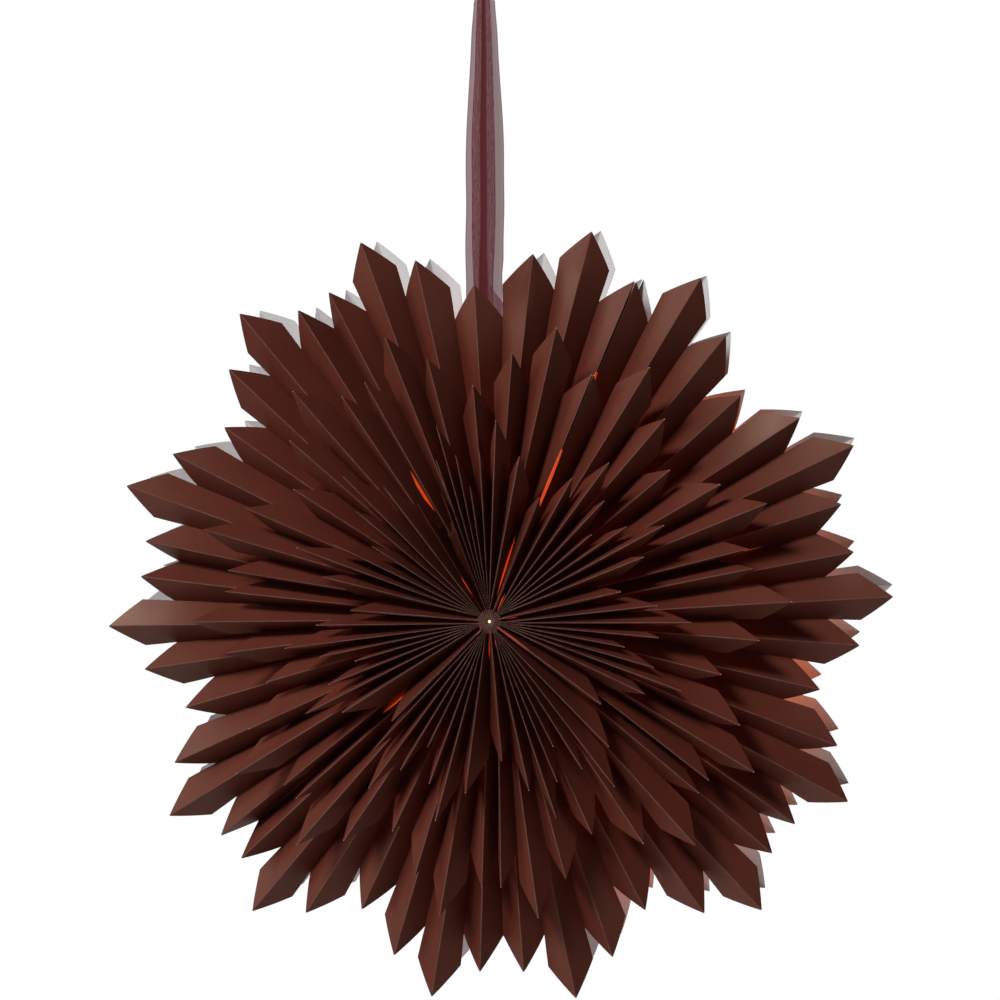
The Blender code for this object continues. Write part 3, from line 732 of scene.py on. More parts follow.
folded_place = add_node(fold_tree, "ShaderNodeCombineXYZ", {
    "X": reckon("MULTIPLY_ADD", reach, reckon("SINE", azimuth), given["Apex X"]),
    "Y": reckon("MULTIPLY", out_depth, reckon("MULTIPLY", given["Facing"], -1.0)),
    "Z": reckon("MULTIPLY_ADD", reach, reckon("COSINE", azimuth), given["Apex Z"]),
})
folded = add_node(fold_tree, "GeometryNodeSetPosition", {
    "Geometry": given["Flat Sheet"], "Position": folded_place.outputs["Vector"]})
feed(fold_tree, result["Folded Sheet"], thicken(fold_tree, folded.outputs["Geometry"], given))
print("fold tree:", len(fold_tree.nodes), "nodes")

# %% [markdown]
# ## Rows and painted glow strips
#
# A sheet is laid out in rows across its folds, a finer one near the hub, where the pleats are narrow.
# In a few valleys, and at some of the end folds beside a seam, a narrow strip of faces is given a painted
# glow, emission that stands in for the lamp's light showing through. Such a strip is widest in its middle
# and runs out to nothing at both ends.

# %% Rows and painted glow strips
row_length = 0.0125
hub_row_length = 0.00625
hub_rows_end = 0.0626
gable_row_shares = (0.25, 0.50, 0.75, 0.970, 1.0)


def row_reaches(root, lengths):
    """Reaches of the rows across a sheet, with each leaf's shoulder on a row."""
    reaches = [max(lengths) - gable_drop]
    while reaches[-1] - row_length > root + row_length / 3.0:
        finer = reaches[-1] <= hub_rows_end
        reaches.append(reaches[-1] - (hub_row_length if finer else row_length))
    return [root] + reaches[::-1]


def glow_strip_width(glow_strip, reach):
    """Width of a painted glow strip at this reach: widest in the middle and nothing at its ends."""
    if glow_strip is None:
        return 0.0
    start, end, width = glow_strip
    along = (reach - start) / (end - start)
    return width * math.sin(math.pi * along) ** 0.5 if 0.0 < along < 1.0 else 0.0


# Where each painted glow strip starts and ends and how wide it is, by section and by valley or first or
# last fold
front_glow_strips = {
    (0, 7): (0.016, 0.060, 0.0017),
    (1, 0): (0.008, 0.019, 0.0014),
    (2, 0): (0.008, 0.019, 0.0008),
    (2, "last"): (0.009, 0.028, 0.0006),
    (3, "first"): (0.009, 0.028, 0.0006),
    (3, 7): (0.007, 0.016, 0.0009),
    (4, 0): (0.009, 0.024, 0.0010),
    (5, 4): (0.006, 0.021, 0.0012),
    (6, 7): (0.014, 0.038, 0.0011),
}
middle_glow_strips = {
    (0, "last"): (0.084, 0.134, 0.0013),
    (1, "first"): (0.084, 0.134, 0.0013),
    (4, 7): (0.084, 0.108, 0.0022),
    (6, 7): (0.090, 0.122, 0.0030),
}
outer_glow_strips = {
    (0, "last"): (0.176, 0.198, 0.0018),
    (1, "first"): (0.176, 0.198, 0.0018),
    (1, 7): (0.160, 0.204, 0.0018),
}
print("slits:", sum(len(glow_strips) for glow_strips in (front_glow_strips, middle_glow_strips, outer_glow_strips)))

# %% [markdown]
# ## A sheet laid out flat
#
# A flat sheet is a mesh in the making. It knows its folds and the valleys between them, gives each
# point the notes that the folding tree reads, and makes a point only once, so that neighbouring strips
# share it and the sheet is one piece of paper. The outer and middle sheets end in a valley at each
# seam, and the front sheet in a fold. At the first seam the outer and middle sheets end in folds too,
# pressed together against the seam.

# %% A sheet laid out flat
class FlatSheet:
    """One sheet laid out flat: a point's X is its azimuth and its Z its reach."""

    def __init__(self, section, fold_shares, lengths, root, ends_in_valley, lean, glow_strips, facing):
        self.section = section
        self.fold_shares = fold_shares
        self.lengths = lengths
        self.rows = row_reaches(root, lengths)
        self.ends_in_valley = ends_in_valley
        self.lean = lean
        self.glow_strips = glow_strips
        self.facing = facing
        self.valleys = [(a + b) / 2.0 for a, b in zip(fold_shares, fold_shares[1:])]
        self.gaps = [b - a for a, b in zip(fold_shares, fold_shares[1:])]
        if ends_in_valley:
            self.valleys = [-1.0] + self.valleys + [1.0]
            self.gaps = [2.0 * (fold_shares[0] + 1.0)] + self.gaps + [2.0 * (1.0 - fold_shares[-1])]
        self.bm = bmesh.new()
        notes = ("lift", "half_gap", "from_crest")
        self.point_notes = [self.bm.verts.layers.float.new(note) for note in notes]
        # Faces with this note are painted with the lamp's glow by the brown finish
        self.glow_note = self.bm.faces.layers.float.new("painted_glow_strip")
        self.tip_note = self.bm.faces.layers.float.new("cut_tip")
        self.points = {}

    def add_point(self, azimuth, reach, *notes):
        key = (round(azimuth, 5), round(reach, 5))
        if key not in self.points:
            vert = self.bm.verts.new((azimuth, 0.0, reach))
            for layer, value in zip(self.point_notes, notes):
                vert[layer] = value
            self.points[key] = vert
        return self.points[key]

    def add_face(self, corners, glow, tip):
        corners = [corner for index, corner in enumerate(corners) if corner not in corners[:index]]
        if len(corners) > 2:
            face = self.bm.faces.new(corners)
            face[self.glow_note] = float(glow)
            face[self.tip_note] = float(tip)

    def end_glow_strip(self, position):
        """The painted glow strip along a fold that lies on a seam, if it has one."""
        return self.glow_strips.get({-1.0: "first", 1.0: "last"}.get(self.fold_shares[position]))

    def valley_at(self, valley, reach):
        """Azimuth and reach of a point in a valley, and half the angle between the crests beside it."""
        if self.ends_in_valley or 0 < valley < len(self.valleys) - 1:
            azimuth, along = self.section.fold(self.valleys[valley], reach)
            return azimuth, along, self.gaps[valley] * self.section.half_angle / 2.0
        inner, end, side = (1, 0, 0) if valley == 0 else (-2, -1, 1)
        inner_azimuth = self.section.fold(self.fold_shares[inner], reach)[0]
        end_azimuth, end_reach = self.section.fold(self.fold_shares[end], reach, self.lean[side])
        return ((inner_azimuth + end_azimuth) / 2.0, (reach + end_reach) / 2.0,
                abs(end_azimuth - inner_azimuth) / 2.0)


print("valleys of an outer and of a front sheet:", len(outer_lengths) + 1, len(front_lengths) - 1)

# %% [markdown]
# ## Cutting the leaves
#
# Each leaf is two strips beside its crest. A strip runs from the root to the leaf's shoulder, and from
# there a straight cut slopes up to the tip. It has a narrow rounded ridge along its crest, because
# paper can't bend to a knife edge. Where a painted glow strip runs, a narrow strip of faces along the
# valley or the end fold carries a note that the finish reads for its painted glow, and so do the faces at
# each tip, which are cut through to the paper's pale core.

# %% Cutting the leaves
strip_columns = 3
ridge_half_width = 0.00015
end_ridge_share = 0.6
widest_ridge = 0.22
widest_end_glow = 0.9
widest_glow_strip = 0.97


def strip_points(sheet, position, valley, width, reach):
    """Points across a strip: the crest's rounded ridge, even steps, and a painted glow strip beside the
    valley.
    """
    fold_share = sheet.fold_shares[position]
    at_seam = abs(fold_share) == 1.0
    crest_lean = sheet.lean[0 if fold_share < 0.0 else 1] if at_seam else 0.0
    crest_azimuth, crest_reach = sheet.section.fold(fold_share, reach, crest_lean)
    valley_azimuth, valley_reach, half_gap = sheet.valley_at(valley, reach)
    turn = valley_azimuth - crest_azimuth
    half_ridge = ridge_half_width * (end_ridge_share if at_seam else 1.0)
    ridge = min(half_ridge / (reach * abs(turn)), widest_ridge, width / (2.0 * strip_columns))
    if at_seam and (valley > 0 or not sheet.ends_in_valley):
        end_glow_half = glow_strip_width(sheet.end_glow_strip(position), reach) / 2.0
        ridge = max(ridge, min(end_glow_half / (reach * abs(turn)), widest_end_glow * width / strip_columns))
    columns = [(0.0, 1.0 - ridge / 2.0, 0.0), (ridge, 1.0 - ridge, half_ridge)]
    for step in range(1, strip_columns + 1):
        across = width * step / strip_columns
        columns.append((across, 1.0 - across, across * leaf_width))
    glow_strip_half = glow_strip_width(sheet.glow_strips.get(valley), reach) / 2.0
    glow_strip_share = min(glow_strip_half / (reach * abs(turn)), widest_glow_strip * width)
    if glow_strip_share > 0.0:
        columns[-1] = (1.0 - glow_strip_share, glow_strip_share, leaf_width)
    columns.append((width, 1.0 - width, width * leaf_width))
    shoulder = sheet.lengths[position] - gable_drop
    half_gap = math.asin(math.sin(half_gap) * min(shoulder / reach, 1.0))
    points = []
    for share, lift, from_crest in columns:
        point_reach = crest_reach + share * (valley_reach - crest_reach)
        point_azimuth = crest_azimuth + share * turn
        points.append(sheet.add_point(point_azimuth, point_reach, lift, half_gap, from_crest))
    return points


def add_strip(sheet, position, valley, side):
    """The half of a leaf between its crest and one of the valleys beside it."""
    shoulder = sheet.lengths[position] - gable_drop
    spans = [(reach, 1.0) for reach in sheet.rows if reach < shoulder + row_length / 10.0]
    spans += [(shoulder + gable_drop * share, 1.0 - share) for share in gable_row_shares]
    rows = [strip_points(sheet, position, valley, width, reach) for reach, width in spans]
    end_glow_widths = [glow_strip_width(sheet.end_glow_strip(position), reach) for reach, width in spans]
    for row, (low, high) in enumerate(zip(rows, rows[1:])):
        for column in range(strip_columns + 2):
            corners = [low[column], low[column + 1], high[column + 1], high[column]]
            if side * sheet.facing < 0.0:
                corners.reverse()
            in_end_glow_strip = column == 0 and end_glow_widths[row] + end_glow_widths[row + 1] > 0.0
            sheet.add_face(corners, column > strip_columns or in_end_glow_strip, high is rows[-1])


def cut_sheet(name, sheet):
    """Adds both strips of every leaf, and returns the flat sheet as a mesh."""
    first_valley = 0 if sheet.ends_in_valley else -1
    for position in range(len(sheet.lengths)):
        for valley, side in ((position + first_valley, -1.0), (position + first_valley + 1, 1.0)):
            if 0 <= valley < len(sheet.valleys):
                add_strip(sheet, position, valley, side)
    return finished_mesh(name, sheet.bm)


print("rows across a front sheet:", len(row_reaches(front_root, front_lengths)))

# %% [markdown]
# ## The paper walls
#
# Seven sections, two walls and three tiers make 42 sheets. Each is cut flat, folded by the tree, and
# given to the star's body in place of the plain solid of the same sheet. The ripple's seed differs from
# sheet to sheet.

# %% The paper walls
paper_waviness = 0.0022
tiers = (
    ("outer", outer_fold_shares, outer_lengths, outer_root, outer_crest_depth, 0.0, 1.0, True, outer_glow_strips),
    ("middle", middle_fold_shares, middle_lengths, middle_root, front_hub_depth - crest_stack,
     crest_rise_share, 1.0, True, middle_glow_strips),
    ("front", front_fold_shares, front_lengths, front_root, front_hub_depth,
     crest_rise_share, hub_pleat_share, False, front_glow_strips),
)


def make_paper_sheet(section, wall, facing, tier_row):
    tier, shares, lengths, root, hub_crest, rise, root_pleat, ends_in_valley, glow_strips = tier_row
    name = "paper_%s_%s_%d" % (wall, tier, section.index + 1)
    end_lean = crease_lean if ends_in_valley else front_end_lean[section.index]
    lean = tuple(math.radians(angle) for angle in end_lean)
    own_glow_strips = {valley: glow_strip for (index, valley), glow_strip in glow_strips.items() if index == section.index}
    fold_shares = shares[section.index]
    sheet = FlatSheet(section, fold_shares, lengths, root, ends_in_valley, lean, own_glow_strips, facing)
    item = link_item(name, cut_sheet(name, sheet))
    apex = star_centre + section.apex
    make_with_nodes(item, fold_tree, {
        "Apex X": apex.x,
        "Apex Z": apex.z,
        "Crest At Hub": hub_crest,
        "Crest Rise": rise,
        "Leaf Width": leaf_width,
        "Root Reach": root,
        "Full Reach": min(lengths) - gable_drop,
        "Root Pleat": root_pleat,
        "Facing": facing,
        "Waviness": paper_waviness,
        "Seed": 3.0 * section.index + 0.7 * len(tier) + facing,
        "Thickness": paper_thickness,
        "Outside": brown_paper,
        "Inside": white_paper,
        "Edge": cut_edge,
    })
    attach(item, "star")
    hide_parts("%s_wall_%s_leaves_%d" % (wall, tier, section.index + 1))
    return len(item.data.polygons)


paper_faces = 0
for section in sections:
    for wall, facing in (("front", 1.0), ("back", -1.0)):
        for tier_row in tiers:
            paper_faces += make_paper_sheet(section, wall, facing, tier_row)
print("paper walls:", paper_faces, "faces")

# %% [markdown]
# ## Side panels: where they end
#
# Between two sections their side walls are glued back to back, which makes one panel along each seam.
# At the seventh seam they are loose, because that is where the star was closed after it was unfolded. A
# panel reaches out to the sheets on both sides of it, so its edge follows their crests and valleys. It
# is flat inside the star, with a window round the lamp, and falls into stretches between the places
# where its edge turns.

# %% Side panels: where they end
window_half_depth = 0.030
window_stations = (0.020, 0.035, 0.050)
gable_stations = (0.081, 0.087, 0.093)
middle_stations = (0.125, 0.150)
rim_stations = (0.190, 0.210)


def ease(value, low, high):
    share = min(max((value - low) / (high - low), 0.0), 1.0)
    return share * share * (3.0 - 2.0 * share)


def front_crest(reach):
    return front_hub_depth + crest_rise_share * reach


def middle_crest(reach):
    return front_crest(reach) - crest_stack


def valley_depth(seam, fold_shares, crest, reach):
    """Depth of the higher of the two valleys that lie against a seam's panel."""
    before = sections[seam]
    after = sections[(seam + 1) % section_count]
    before_turn = (1.0 - fold_shares[before.index][-1]) * before.half_angle
    after_turn = (1.0 + fold_shares[after.index][0]) * after.half_angle
    half_spacing = reach * math.sin(max(before_turn, after_turn))
    return crest - math.sqrt(leaf_width ** 2 - half_spacing ** 2)


def panel_stretches(seam, window_end):
    """The stretches of a panel: stations, lower edge and upper edge. The first three make up its flap."""
    front_tip = front_lengths[-1]
    shoulder = front_tip - gable_drop
    middle_tip = middle_lengths[-1] - gable_drop
    rim = outer_lengths[-1] - gable_drop

    def under_gable(reach):
        return front_crest(reach) - leaf_width * (front_tip - reach) / gable_drop

    def under_middle(reach):
        return valley_depth(seam, middle_fold_shares, middle_crest(reach), reach)

    def under_outer(reach):
        return valley_depth(seam, outer_fold_shares, outer_crest_depth, reach)

    return (
        ((front_root, *window_stations, window_end), lambda reach: window_half_depth, front_crest),
        ((window_end, shoulder), lambda reach: 0.0, front_crest),
        ((shoulder, *gable_stations, front_tip), under_gable, front_crest),
        ((shoulder, front_tip, *middle_stations, middle_tip), lambda reach: 0.0, under_middle),
        ((middle_tip, *rim_stations, rim), lambda reach: 0.0, under_outer),
    )


print("front crest at a tip, millimetres:", round(1000.0 * front_crest(front_lengths[-1]), 1))

# %% [markdown]
# ## Side panels: laying them out
#
# A panel is a plain outline, so mesh code lays it out, with stations along the seam and rows from each
# stretch's lower edge to its upper one. Its outer flap leans over to meet the end fold of the front
# sheet. A small tree then makes it paper.

# %% Side panels: laying them out
window_reach = 0.0719
lean_start = 0.062
panel_rows = 6
same_point = 0.00001

panel_tree, given, result = new_tree(
    "thicken_paper", "GeometryNodeTree", (("Sheet", "Geometry", None),) + paper_sockets,
    (("Panel", "Geometry", None),))
feed(panel_tree, result["Panel"], thicken(panel_tree, given["Sheet"], given))


def panel_sheet(name, seam, lean, aside, foot):
    """Lays out one panel: stations along the seam, and rows from the middle plane out to each wall."""
    bm = bmesh.new()
    crest_note = bm.verts.layers.float.new("from_crest")
    shift = apex_offset * math.cos(section_angle / 2.0)
    azimuth = seam_azimuth(seam)
    across = ray(azimuth + math.pi / 2.0)
    for wall in (1.0, -1.0):
        for reaches, bottom, top in panel_stretches(seam, window_reach - shift):
            grid = []
            for reach in reaches:
                low = bottom(reach)
                high = top(reach)
                start = middle_crest(reach) - foot * ease(reach, lean_start, window_reach)
                column = []
                for row in range(panel_rows + 1):
                    depth = low + (high - low) * row / panel_rows
                    turn = lean * ease(depth, start, start + crest_stack) if top is front_crest else 0.0
                    along = (reach + shift) * ray(azimuth + turn)
                    outward = Vector((0.0, -wall * depth, 0.0))
                    vert = bm.verts.new(star_centre + along + aside * across + outward)
                    vert[crest_note] = leaf_width
                    column.append(vert)
                grid.append(column)
            for near, far in zip(grid, grid[1:]):
                for row in range(panel_rows):
                    corners = [near[row], far[row], far[row + 1], near[row + 1]]
                    bm.faces.new(corners if wall > 0.0 else corners[::-1])
    bmesh.ops.remove_doubles(bm, verts=bm.verts, dist=same_point)
    return finished_mesh(name, bm)


print("panel tree:", len(panel_tree.nodes), "nodes")

# %% [markdown]
# ## Side panels: the eight of them
#
# Six glued panels of double thickness, white on both sides, and the two loose ones of the closing seam.
# The loose ones are single sheets, which lie against each other with their outsides.

# %% Side panels: the eight of them
glued_thickness = 0.0005
closing = section_count - 1
panels = []
for seam in range(closing):
    panels.append(("seam_panel_%d" % (seam + 1), "paper_panel_%d" % (seam + 1), seam, seam_lean[seam],
                   -glued_thickness / 2.0, glued_thickness, white_paper, white_paper, 0.0))
panels += [
    ("closing_panel_left", "paper_closing_left", closing, closing_lean[0],
     -seam_gap - paper_thickness, paper_thickness, brown_paper, white_paper, 0.0),
    ("closing_panel_right", "paper_closing_right", closing, closing_lean[1],
     seam_gap, paper_thickness, white_paper, brown_paper, leaf_width),
]
for node, name, seam, lean, aside, thickness, outside, inside, foot in panels:
    item = link_item(name, panel_sheet(name, seam, math.radians(lean), aside, foot))
    make_with_nodes(item, panel_tree, {
        "Thickness": thickness,
        "Outside": outside,
        "Inside": inside,
        "Edge": brown_paper,
    })
    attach(item, "star")
    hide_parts(node)
print("panels:", len(panels))

# %% [markdown]
# ## Gathered hub: its node tree
#
# Close to the star's middle the pleats have no room left, so the roots of all the leaves bunch together
# round a hole of a few millimetres, which lets a point of lamplight out. A node tree makes the bunch: a
# ring of fine ridges, one for every two leaves, that dips towards the hole. It starts from a grid,
# whose X becomes the way out from the hole and whose Y the way round it.

# %% Gathered hub: its node tree
hub_rings = 7
hub_ridges = 28
steps_per_ridge = 8
inward_rise = 0.0018
dip_power = 6.0
low_ridge_reach = 0.4
low_ridge_share = 0.35
ridge_note_width = 0.0012

gather_tree, given, result = new_tree("gather_hub", "GeometryNodeTree", (
    ("Hole Radius", "Float", 0.0013),
    ("Outer Radius", "Float", 0.0090),
    ("Rim Depth", "Float", 0.0604),
    ("Dip", "Float", 0.0012),
    ("Ridge Count", "Float", 28.0),
    ("Ridge Height", "Float", 0.0004),
    ("Facing", "Float", 1.0),
    ("Centre", "Vector", None),
) + paper_sockets, (
    ("Gathered Hub", "Geometry", None),
))
reckon = partial(maths, gather_tree)
net = add_node(gather_tree, "GeometryNodeMeshGrid", {
    "Size X": 1.0, "Size Y": 1.0, "Vertices X": hub_rings, "Vertices Y": hub_ridges * steps_per_ridge + 1})
net_place = add_node(gather_tree, "ShaderNodeSeparateXYZ", {
    "Vector": add_node(gather_tree, "GeometryNodeInputPosition").outputs["Position"]})
out_share = reckon("ADD", net_place.outputs["X"], 0.5)
angle = reckon("MULTIPLY", reckon("ADD", net_place.outputs["Y"], 0.5),
               reckon("MULTIPLY", given["Facing"], -math.tau))
ridge = reckon("COSINE", reckon("MULTIPLY", angle, given["Ridge Count"]))
ring_width = reckon("SUBTRACT", given["Outer Radius"], given["Hole Radius"])
radius = reckon("MULTIPLY_ADD", out_share, ring_width, given["Hole Radius"])

inward = reckon("SUBTRACT", 1.0, out_share)
rise = reckon("SUBTRACT", reckon("MULTIPLY", inward, inward_rise),
              reckon("MULTIPLY", given["Dip"], reckon("POWER", inward, dip_power)))
ridge_share = map_range(gather_tree, out_share, 0.0, low_ridge_reach, low_ridge_share, 1.0)
ridge_depth = reckon("MULTIPLY", given["Ridge Height"], reckon("MULTIPLY", ridge, ridge_share))
depth = reckon("ADD", reckon("ADD", given["Rim Depth"], rise), ridge_depth)
ring_place = add_node(gather_tree, "ShaderNodeCombineXYZ", {
    "X": reckon("MULTIPLY", radius, reckon("SINE", angle)),
    "Y": reckon("MULTIPLY", depth, reckon("MULTIPLY", given["Facing"], -1.0)),
    "Z": reckon("MULTIPLY", radius, reckon("COSINE", angle)),
})
moved = add_node(gather_tree, "ShaderNodeVectorMath", {
    0: ring_place.outputs["Vector"], 1: given["Centre"]}, operation="ADD")
# The note that the pale crest line reads, partly wear and partly painted highlight
crest_noted = add_node(gather_tree, "GeometryNodeStoreNamedAttribute", {
    "Geometry": net.outputs["Mesh"],
    "Name": "from_crest",
    "Value": map_range(gather_tree, ridge, -1.0, 1.0, ridge_note_width, 0.0),
}, data_type="FLOAT", domain="POINT")
ring = add_node(gather_tree, "GeometryNodeSetPosition", {
    "Geometry": crest_noted.outputs["Geometry"], "Position": moved.outputs["Vector"]})
closed_ring = merge_points(gather_tree, ring.outputs["Geometry"])
feed(gather_tree, result["Gathered Hub"], thicken(gather_tree, closed_ring, given))
print("hub tree:", len(gather_tree.nodes), "nodes")

# %% [markdown]
# ## Gathered hub: front and back
#
# Both walls have the same bunch, set a little below the crests so that the leaves seem to grow out of
# it. No plain solid stands for it, so it replaces none and only rides on the star.

# %% Gathered hub: front and back
hub_inset = 0.0011
for wall, facing in (("front", 1.0), ("back", -1.0)):
    name = "paper_%s_hub" % wall
    item = link_item(name, bpy.data.meshes.new(name))
    make_with_nodes(item, gather_tree, {
        "Hole Radius": 0.0013,
        "Outer Radius": 0.0092,
        "Rim Depth": front_hub_depth - hub_inset,
        "Dip": 0.0022,
        "Ridge Count": float(hub_ridges),
        "Ridge Height": 0.0004,
        "Facing": facing,
        "Centre": star_centre,
        "Thickness": paper_thickness,
        "Outside": brown_paper,
        "Inside": white_paper,
        "Edge": brown_paper,
    })
    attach(item, "star")
    print(name, "faces:", len(item.data.polygons))

# %% [markdown]
# ## Sheer ribbon: its finish
#
# The star hangs on a woven ribbon 30 mm wide, so sheer that each layer lets about a seventh of the
# light through and two layers show a watery pattern where their threads cross. The finish takes the
# place across the ribbon from the ribbon's own map, for the firmer edge, and a note called crowding
# says where the ribbon is gathered or lies over itself. There its colour is painted darker, as painted
# shade of layers that shade one another. Everywhere the ribbon also gives out a faint painted glow,
# emission that stands in for the bright backdrop's light passing through its threads.

# %% Sheer ribbon: its finish
sheer_ribbon, tree, inputs = new_material("sheer_ribbon")
across = add_node(tree, "ShaderNodeSeparateXYZ", {
    "Vector": add_node(tree, "ShaderNodeUVMap", uv_map="ribbon").outputs["UV"]}).outputs["X"]
from_middle = maths(tree, "ABSOLUTE", maths(tree, "SUBTRACT", across, 0.5))
selvedge = map_range(tree, from_middle, 0.46, 0.49, 0.0, 1.0)
crowding = noted(tree, "crowding")
stretched = add_node(tree, "ShaderNodeMapping", {"Vector": object_place(tree), "Scale": (1.0, 1.0, 0.35)})
watery = add_node(tree, "ShaderNodeTexWave", {
    "Vector": stretched.outputs["Vector"],
    "Scale": 120.0,
    "Distortion": 9.0,
    "Detail": 2.0,
    "Detail Scale": 2.6,
}, wave_type="BANDS", bands_direction="X")
moire = maths(tree, "MULTIPLY", watery.outputs["Fac"], maths(tree, "GREATER_THAN", crowding, 0.1))
thread = mix_colour(tree, moire, (0.060, 0.020, 0.025), (0.040, 0.009, 0.012))
# Painted light: a faint emission stands in for the backdrop's light passing through the threads, less where
# crowded
painted_backlight = mix_colour(tree, moire, (0.090, 0.032, 0.039), (0.058, 0.014, 0.018))
cover = maths(tree, "ADD", 0.845, maths(tree, "MULTIPLY", selvedge, 0.08))
set_finish(tree, inputs, {
    # Painted shade: where crowded, the colour is painted darker, as if the layers shade one another
    "Base Color": mix_colour(tree, crowding, thread, (0.040, 0.006, 0.008)),
    "Roughness": 0.70,
    "Specular IOR Level": 0.15,
    "Emission Color": mix_colour(tree, crowding, painted_backlight, (0.044, 0.006, 0.009)),
    "Emission Strength": 1.0,
    "Alpha": maths(tree, "ADD", cover, maths(tree, "MULTIPLY", moire, 0.05)),
})
print(sheer_ribbon.name, "has", len(tree.nodes), "nodes")

# %% [markdown]
# ## Sheer ribbon: a strip from stations
#
# Every piece of the ribbon is a strip through stations along its length. A station is a function that
# says where a point lies at a share across the ribbon, and how crowded the ribbon is there. The strip
# also gets the map that the finish reads.

# %% Sheer ribbon: a strip from stations
ribbon_width = 0.030
ribbon_columns = 36
hook_bend = 0.0053
rod_bend = 0.0026
rod_height = -0.380
knot_height = -0.0205
strand_spacing = 0.0006
apart_above_knot = -0.008
apart_below_knot = -0.120
bend_steps = 12


def ribbon_strip(name, stations):
    """A strip of ribbon from stations along it, linked as an object of this name."""
    bm = bmesh.new()
    uv = bm.loops.layers.uv.new("ribbon")
    crowding_note = bm.verts.layers.float.new("crowding")
    rows = []
    for station in stations:
        row = []
        for column in range(ribbon_columns + 1):
            place, crowded = station(column / ribbon_columns)
            vert = bm.verts.new(place)
            vert[crowding_note] = crowded
            row.append(vert)
        rows.append(row)
    for index, (near, far) in enumerate(zip(rows, rows[1:])):
        for column in range(ribbon_columns):
            face = bm.faces.new((near[column], near[column + 1], far[column + 1], far[column]))
            face.smooth = True
            for loop, (step, along) in zip(face.loops, ((0, 0), (1, 0), (1, 1), (0, 1))):
                loop[uv].uv = ((column + step) / ribbon_columns, (index + along) / len(rows))
    mesh = finished_mesh(name, bm)
    mesh.materials.append(sheer_ribbon)
    return link_item(name, mesh)


def bend_stations(radius, centre_height, first, last, width, gathers, gather_depth):
    """Round a rod or hook that lies along X, with lengthwise gathers that stand out from the bend."""
    def station(angle):
        def point(share):
            out = radius + gather_depth * (0.5 - 0.5 * math.cos(math.tau * gathers * share))
            height = centre_height + out * math.sin(angle)
            return Vector(((share - 0.5) * width, out * math.cos(angle), height)), 0.0
        return point
    return [station(first + (last - first) * step / bend_steps) for step in range(bend_steps + 1)]


def leg_depth(height):
    """How far a strand lies from the middle: apart at the hook, together at the knot, apart for the rod."""
    above_knot = hook_bend * ease(height, knot_height, apart_above_knot)
    below_knot = (rod_bend - strand_spacing) * ease(height, knot_height, apart_below_knot)
    return strand_spacing + max(above_knot - strand_spacing, 0.0) + below_knot


print("points across the ribbon:", ribbon_columns + 1)

# %% [markdown]
# ## Sheer ribbon: the back strand
#
# The ribbon goes down to a rod in the top section, round the rod and up again. Its back strand hangs
# flat. Its front strand has closed up lengthwise into three layers along the middle, which reads as a
# dark stripe, and opens again above the rod. Both are narrow at the knot and spread out lower down. The
# flat one comes first, with the width that the two share.

# %% Sheer ribbon: the back strand
strand_start = -0.0225
tied_width = 0.0120
strand_ripples = 4.0
ripple_depth = 0.0007
bow_depth = 0.0006
strand_sway = 0.0003
edge_narrowing = 0.0016

# By how much the ribbon spreads, and from which height to which
strand_spreads = (
    (0.0045, strand_start, -0.026),
    (0.0035, -0.026, -0.055),
    (0.0100, -0.040, -0.150),
)


def strand_width(height):
    """Visible width of the ribbon: gathered at the knot and spread out lower down."""
    return tied_width + sum(gain * ease(height, start, end) for gain, start, end in strand_spreads)


def flat_station(height):
    """The back strand: flat, gathered in small ripples towards the knot."""
    width = strand_width(height)
    gather = ripple_depth * (1.0 - ease(height, -0.020, -0.120))
    sway = strand_sway * math.sin(height * 95.0) * ease(height, -0.120, -0.200)
    narrowing = edge_narrowing * ease(height, -0.222, -0.240)

    def point(share):
        x = (share - 0.5) * width + sway
        x -= narrowing * max(share - 0.5, 0.0) * 2.0
        bow = bow_depth * math.cos(math.tau * share * 0.9 + height * 40.0)
        ripple = gather * math.sin(math.tau * strand_ripples * share)
        return Vector((x, leg_depth(height) + (bow + ripple), height)), 0.0
    return point


print("strand at the rod, millimetres wide:", round(1000.0 * strand_width(rod_height), 1))

# %% [markdown]
# ## Sheer ribbon: the front strand
#
# A station of the front strand walks along the folded ribbon: along the layer at the left, back along
# the hidden one in the middle, and out along the layer at the right. Where the three lie over one
# another, the ribbon is crowded and the stripe shows. Both strands and the bend round the rod between
# them are one strip.

# %% Sheer ribbon: the front strand
strand_steps = 60
closing_share = 0.38
closing_gain = 0.10
least_overlap = 0.0001
layer_bend = 0.002
low_layer = 0.4
stripe_soft_inside = 0.0004
stripe_soft_outside = 0.0006
stripe_sway = 0.0002
stripe_shift = 0.0003
layers_depth = 0.0012
# The front strand is a little crowded everywhere, so it shows the watery pattern, and fully on its stripe,
# where the finish paints it darker as painted shade on top of its three real layers
least_crowding = 0.15


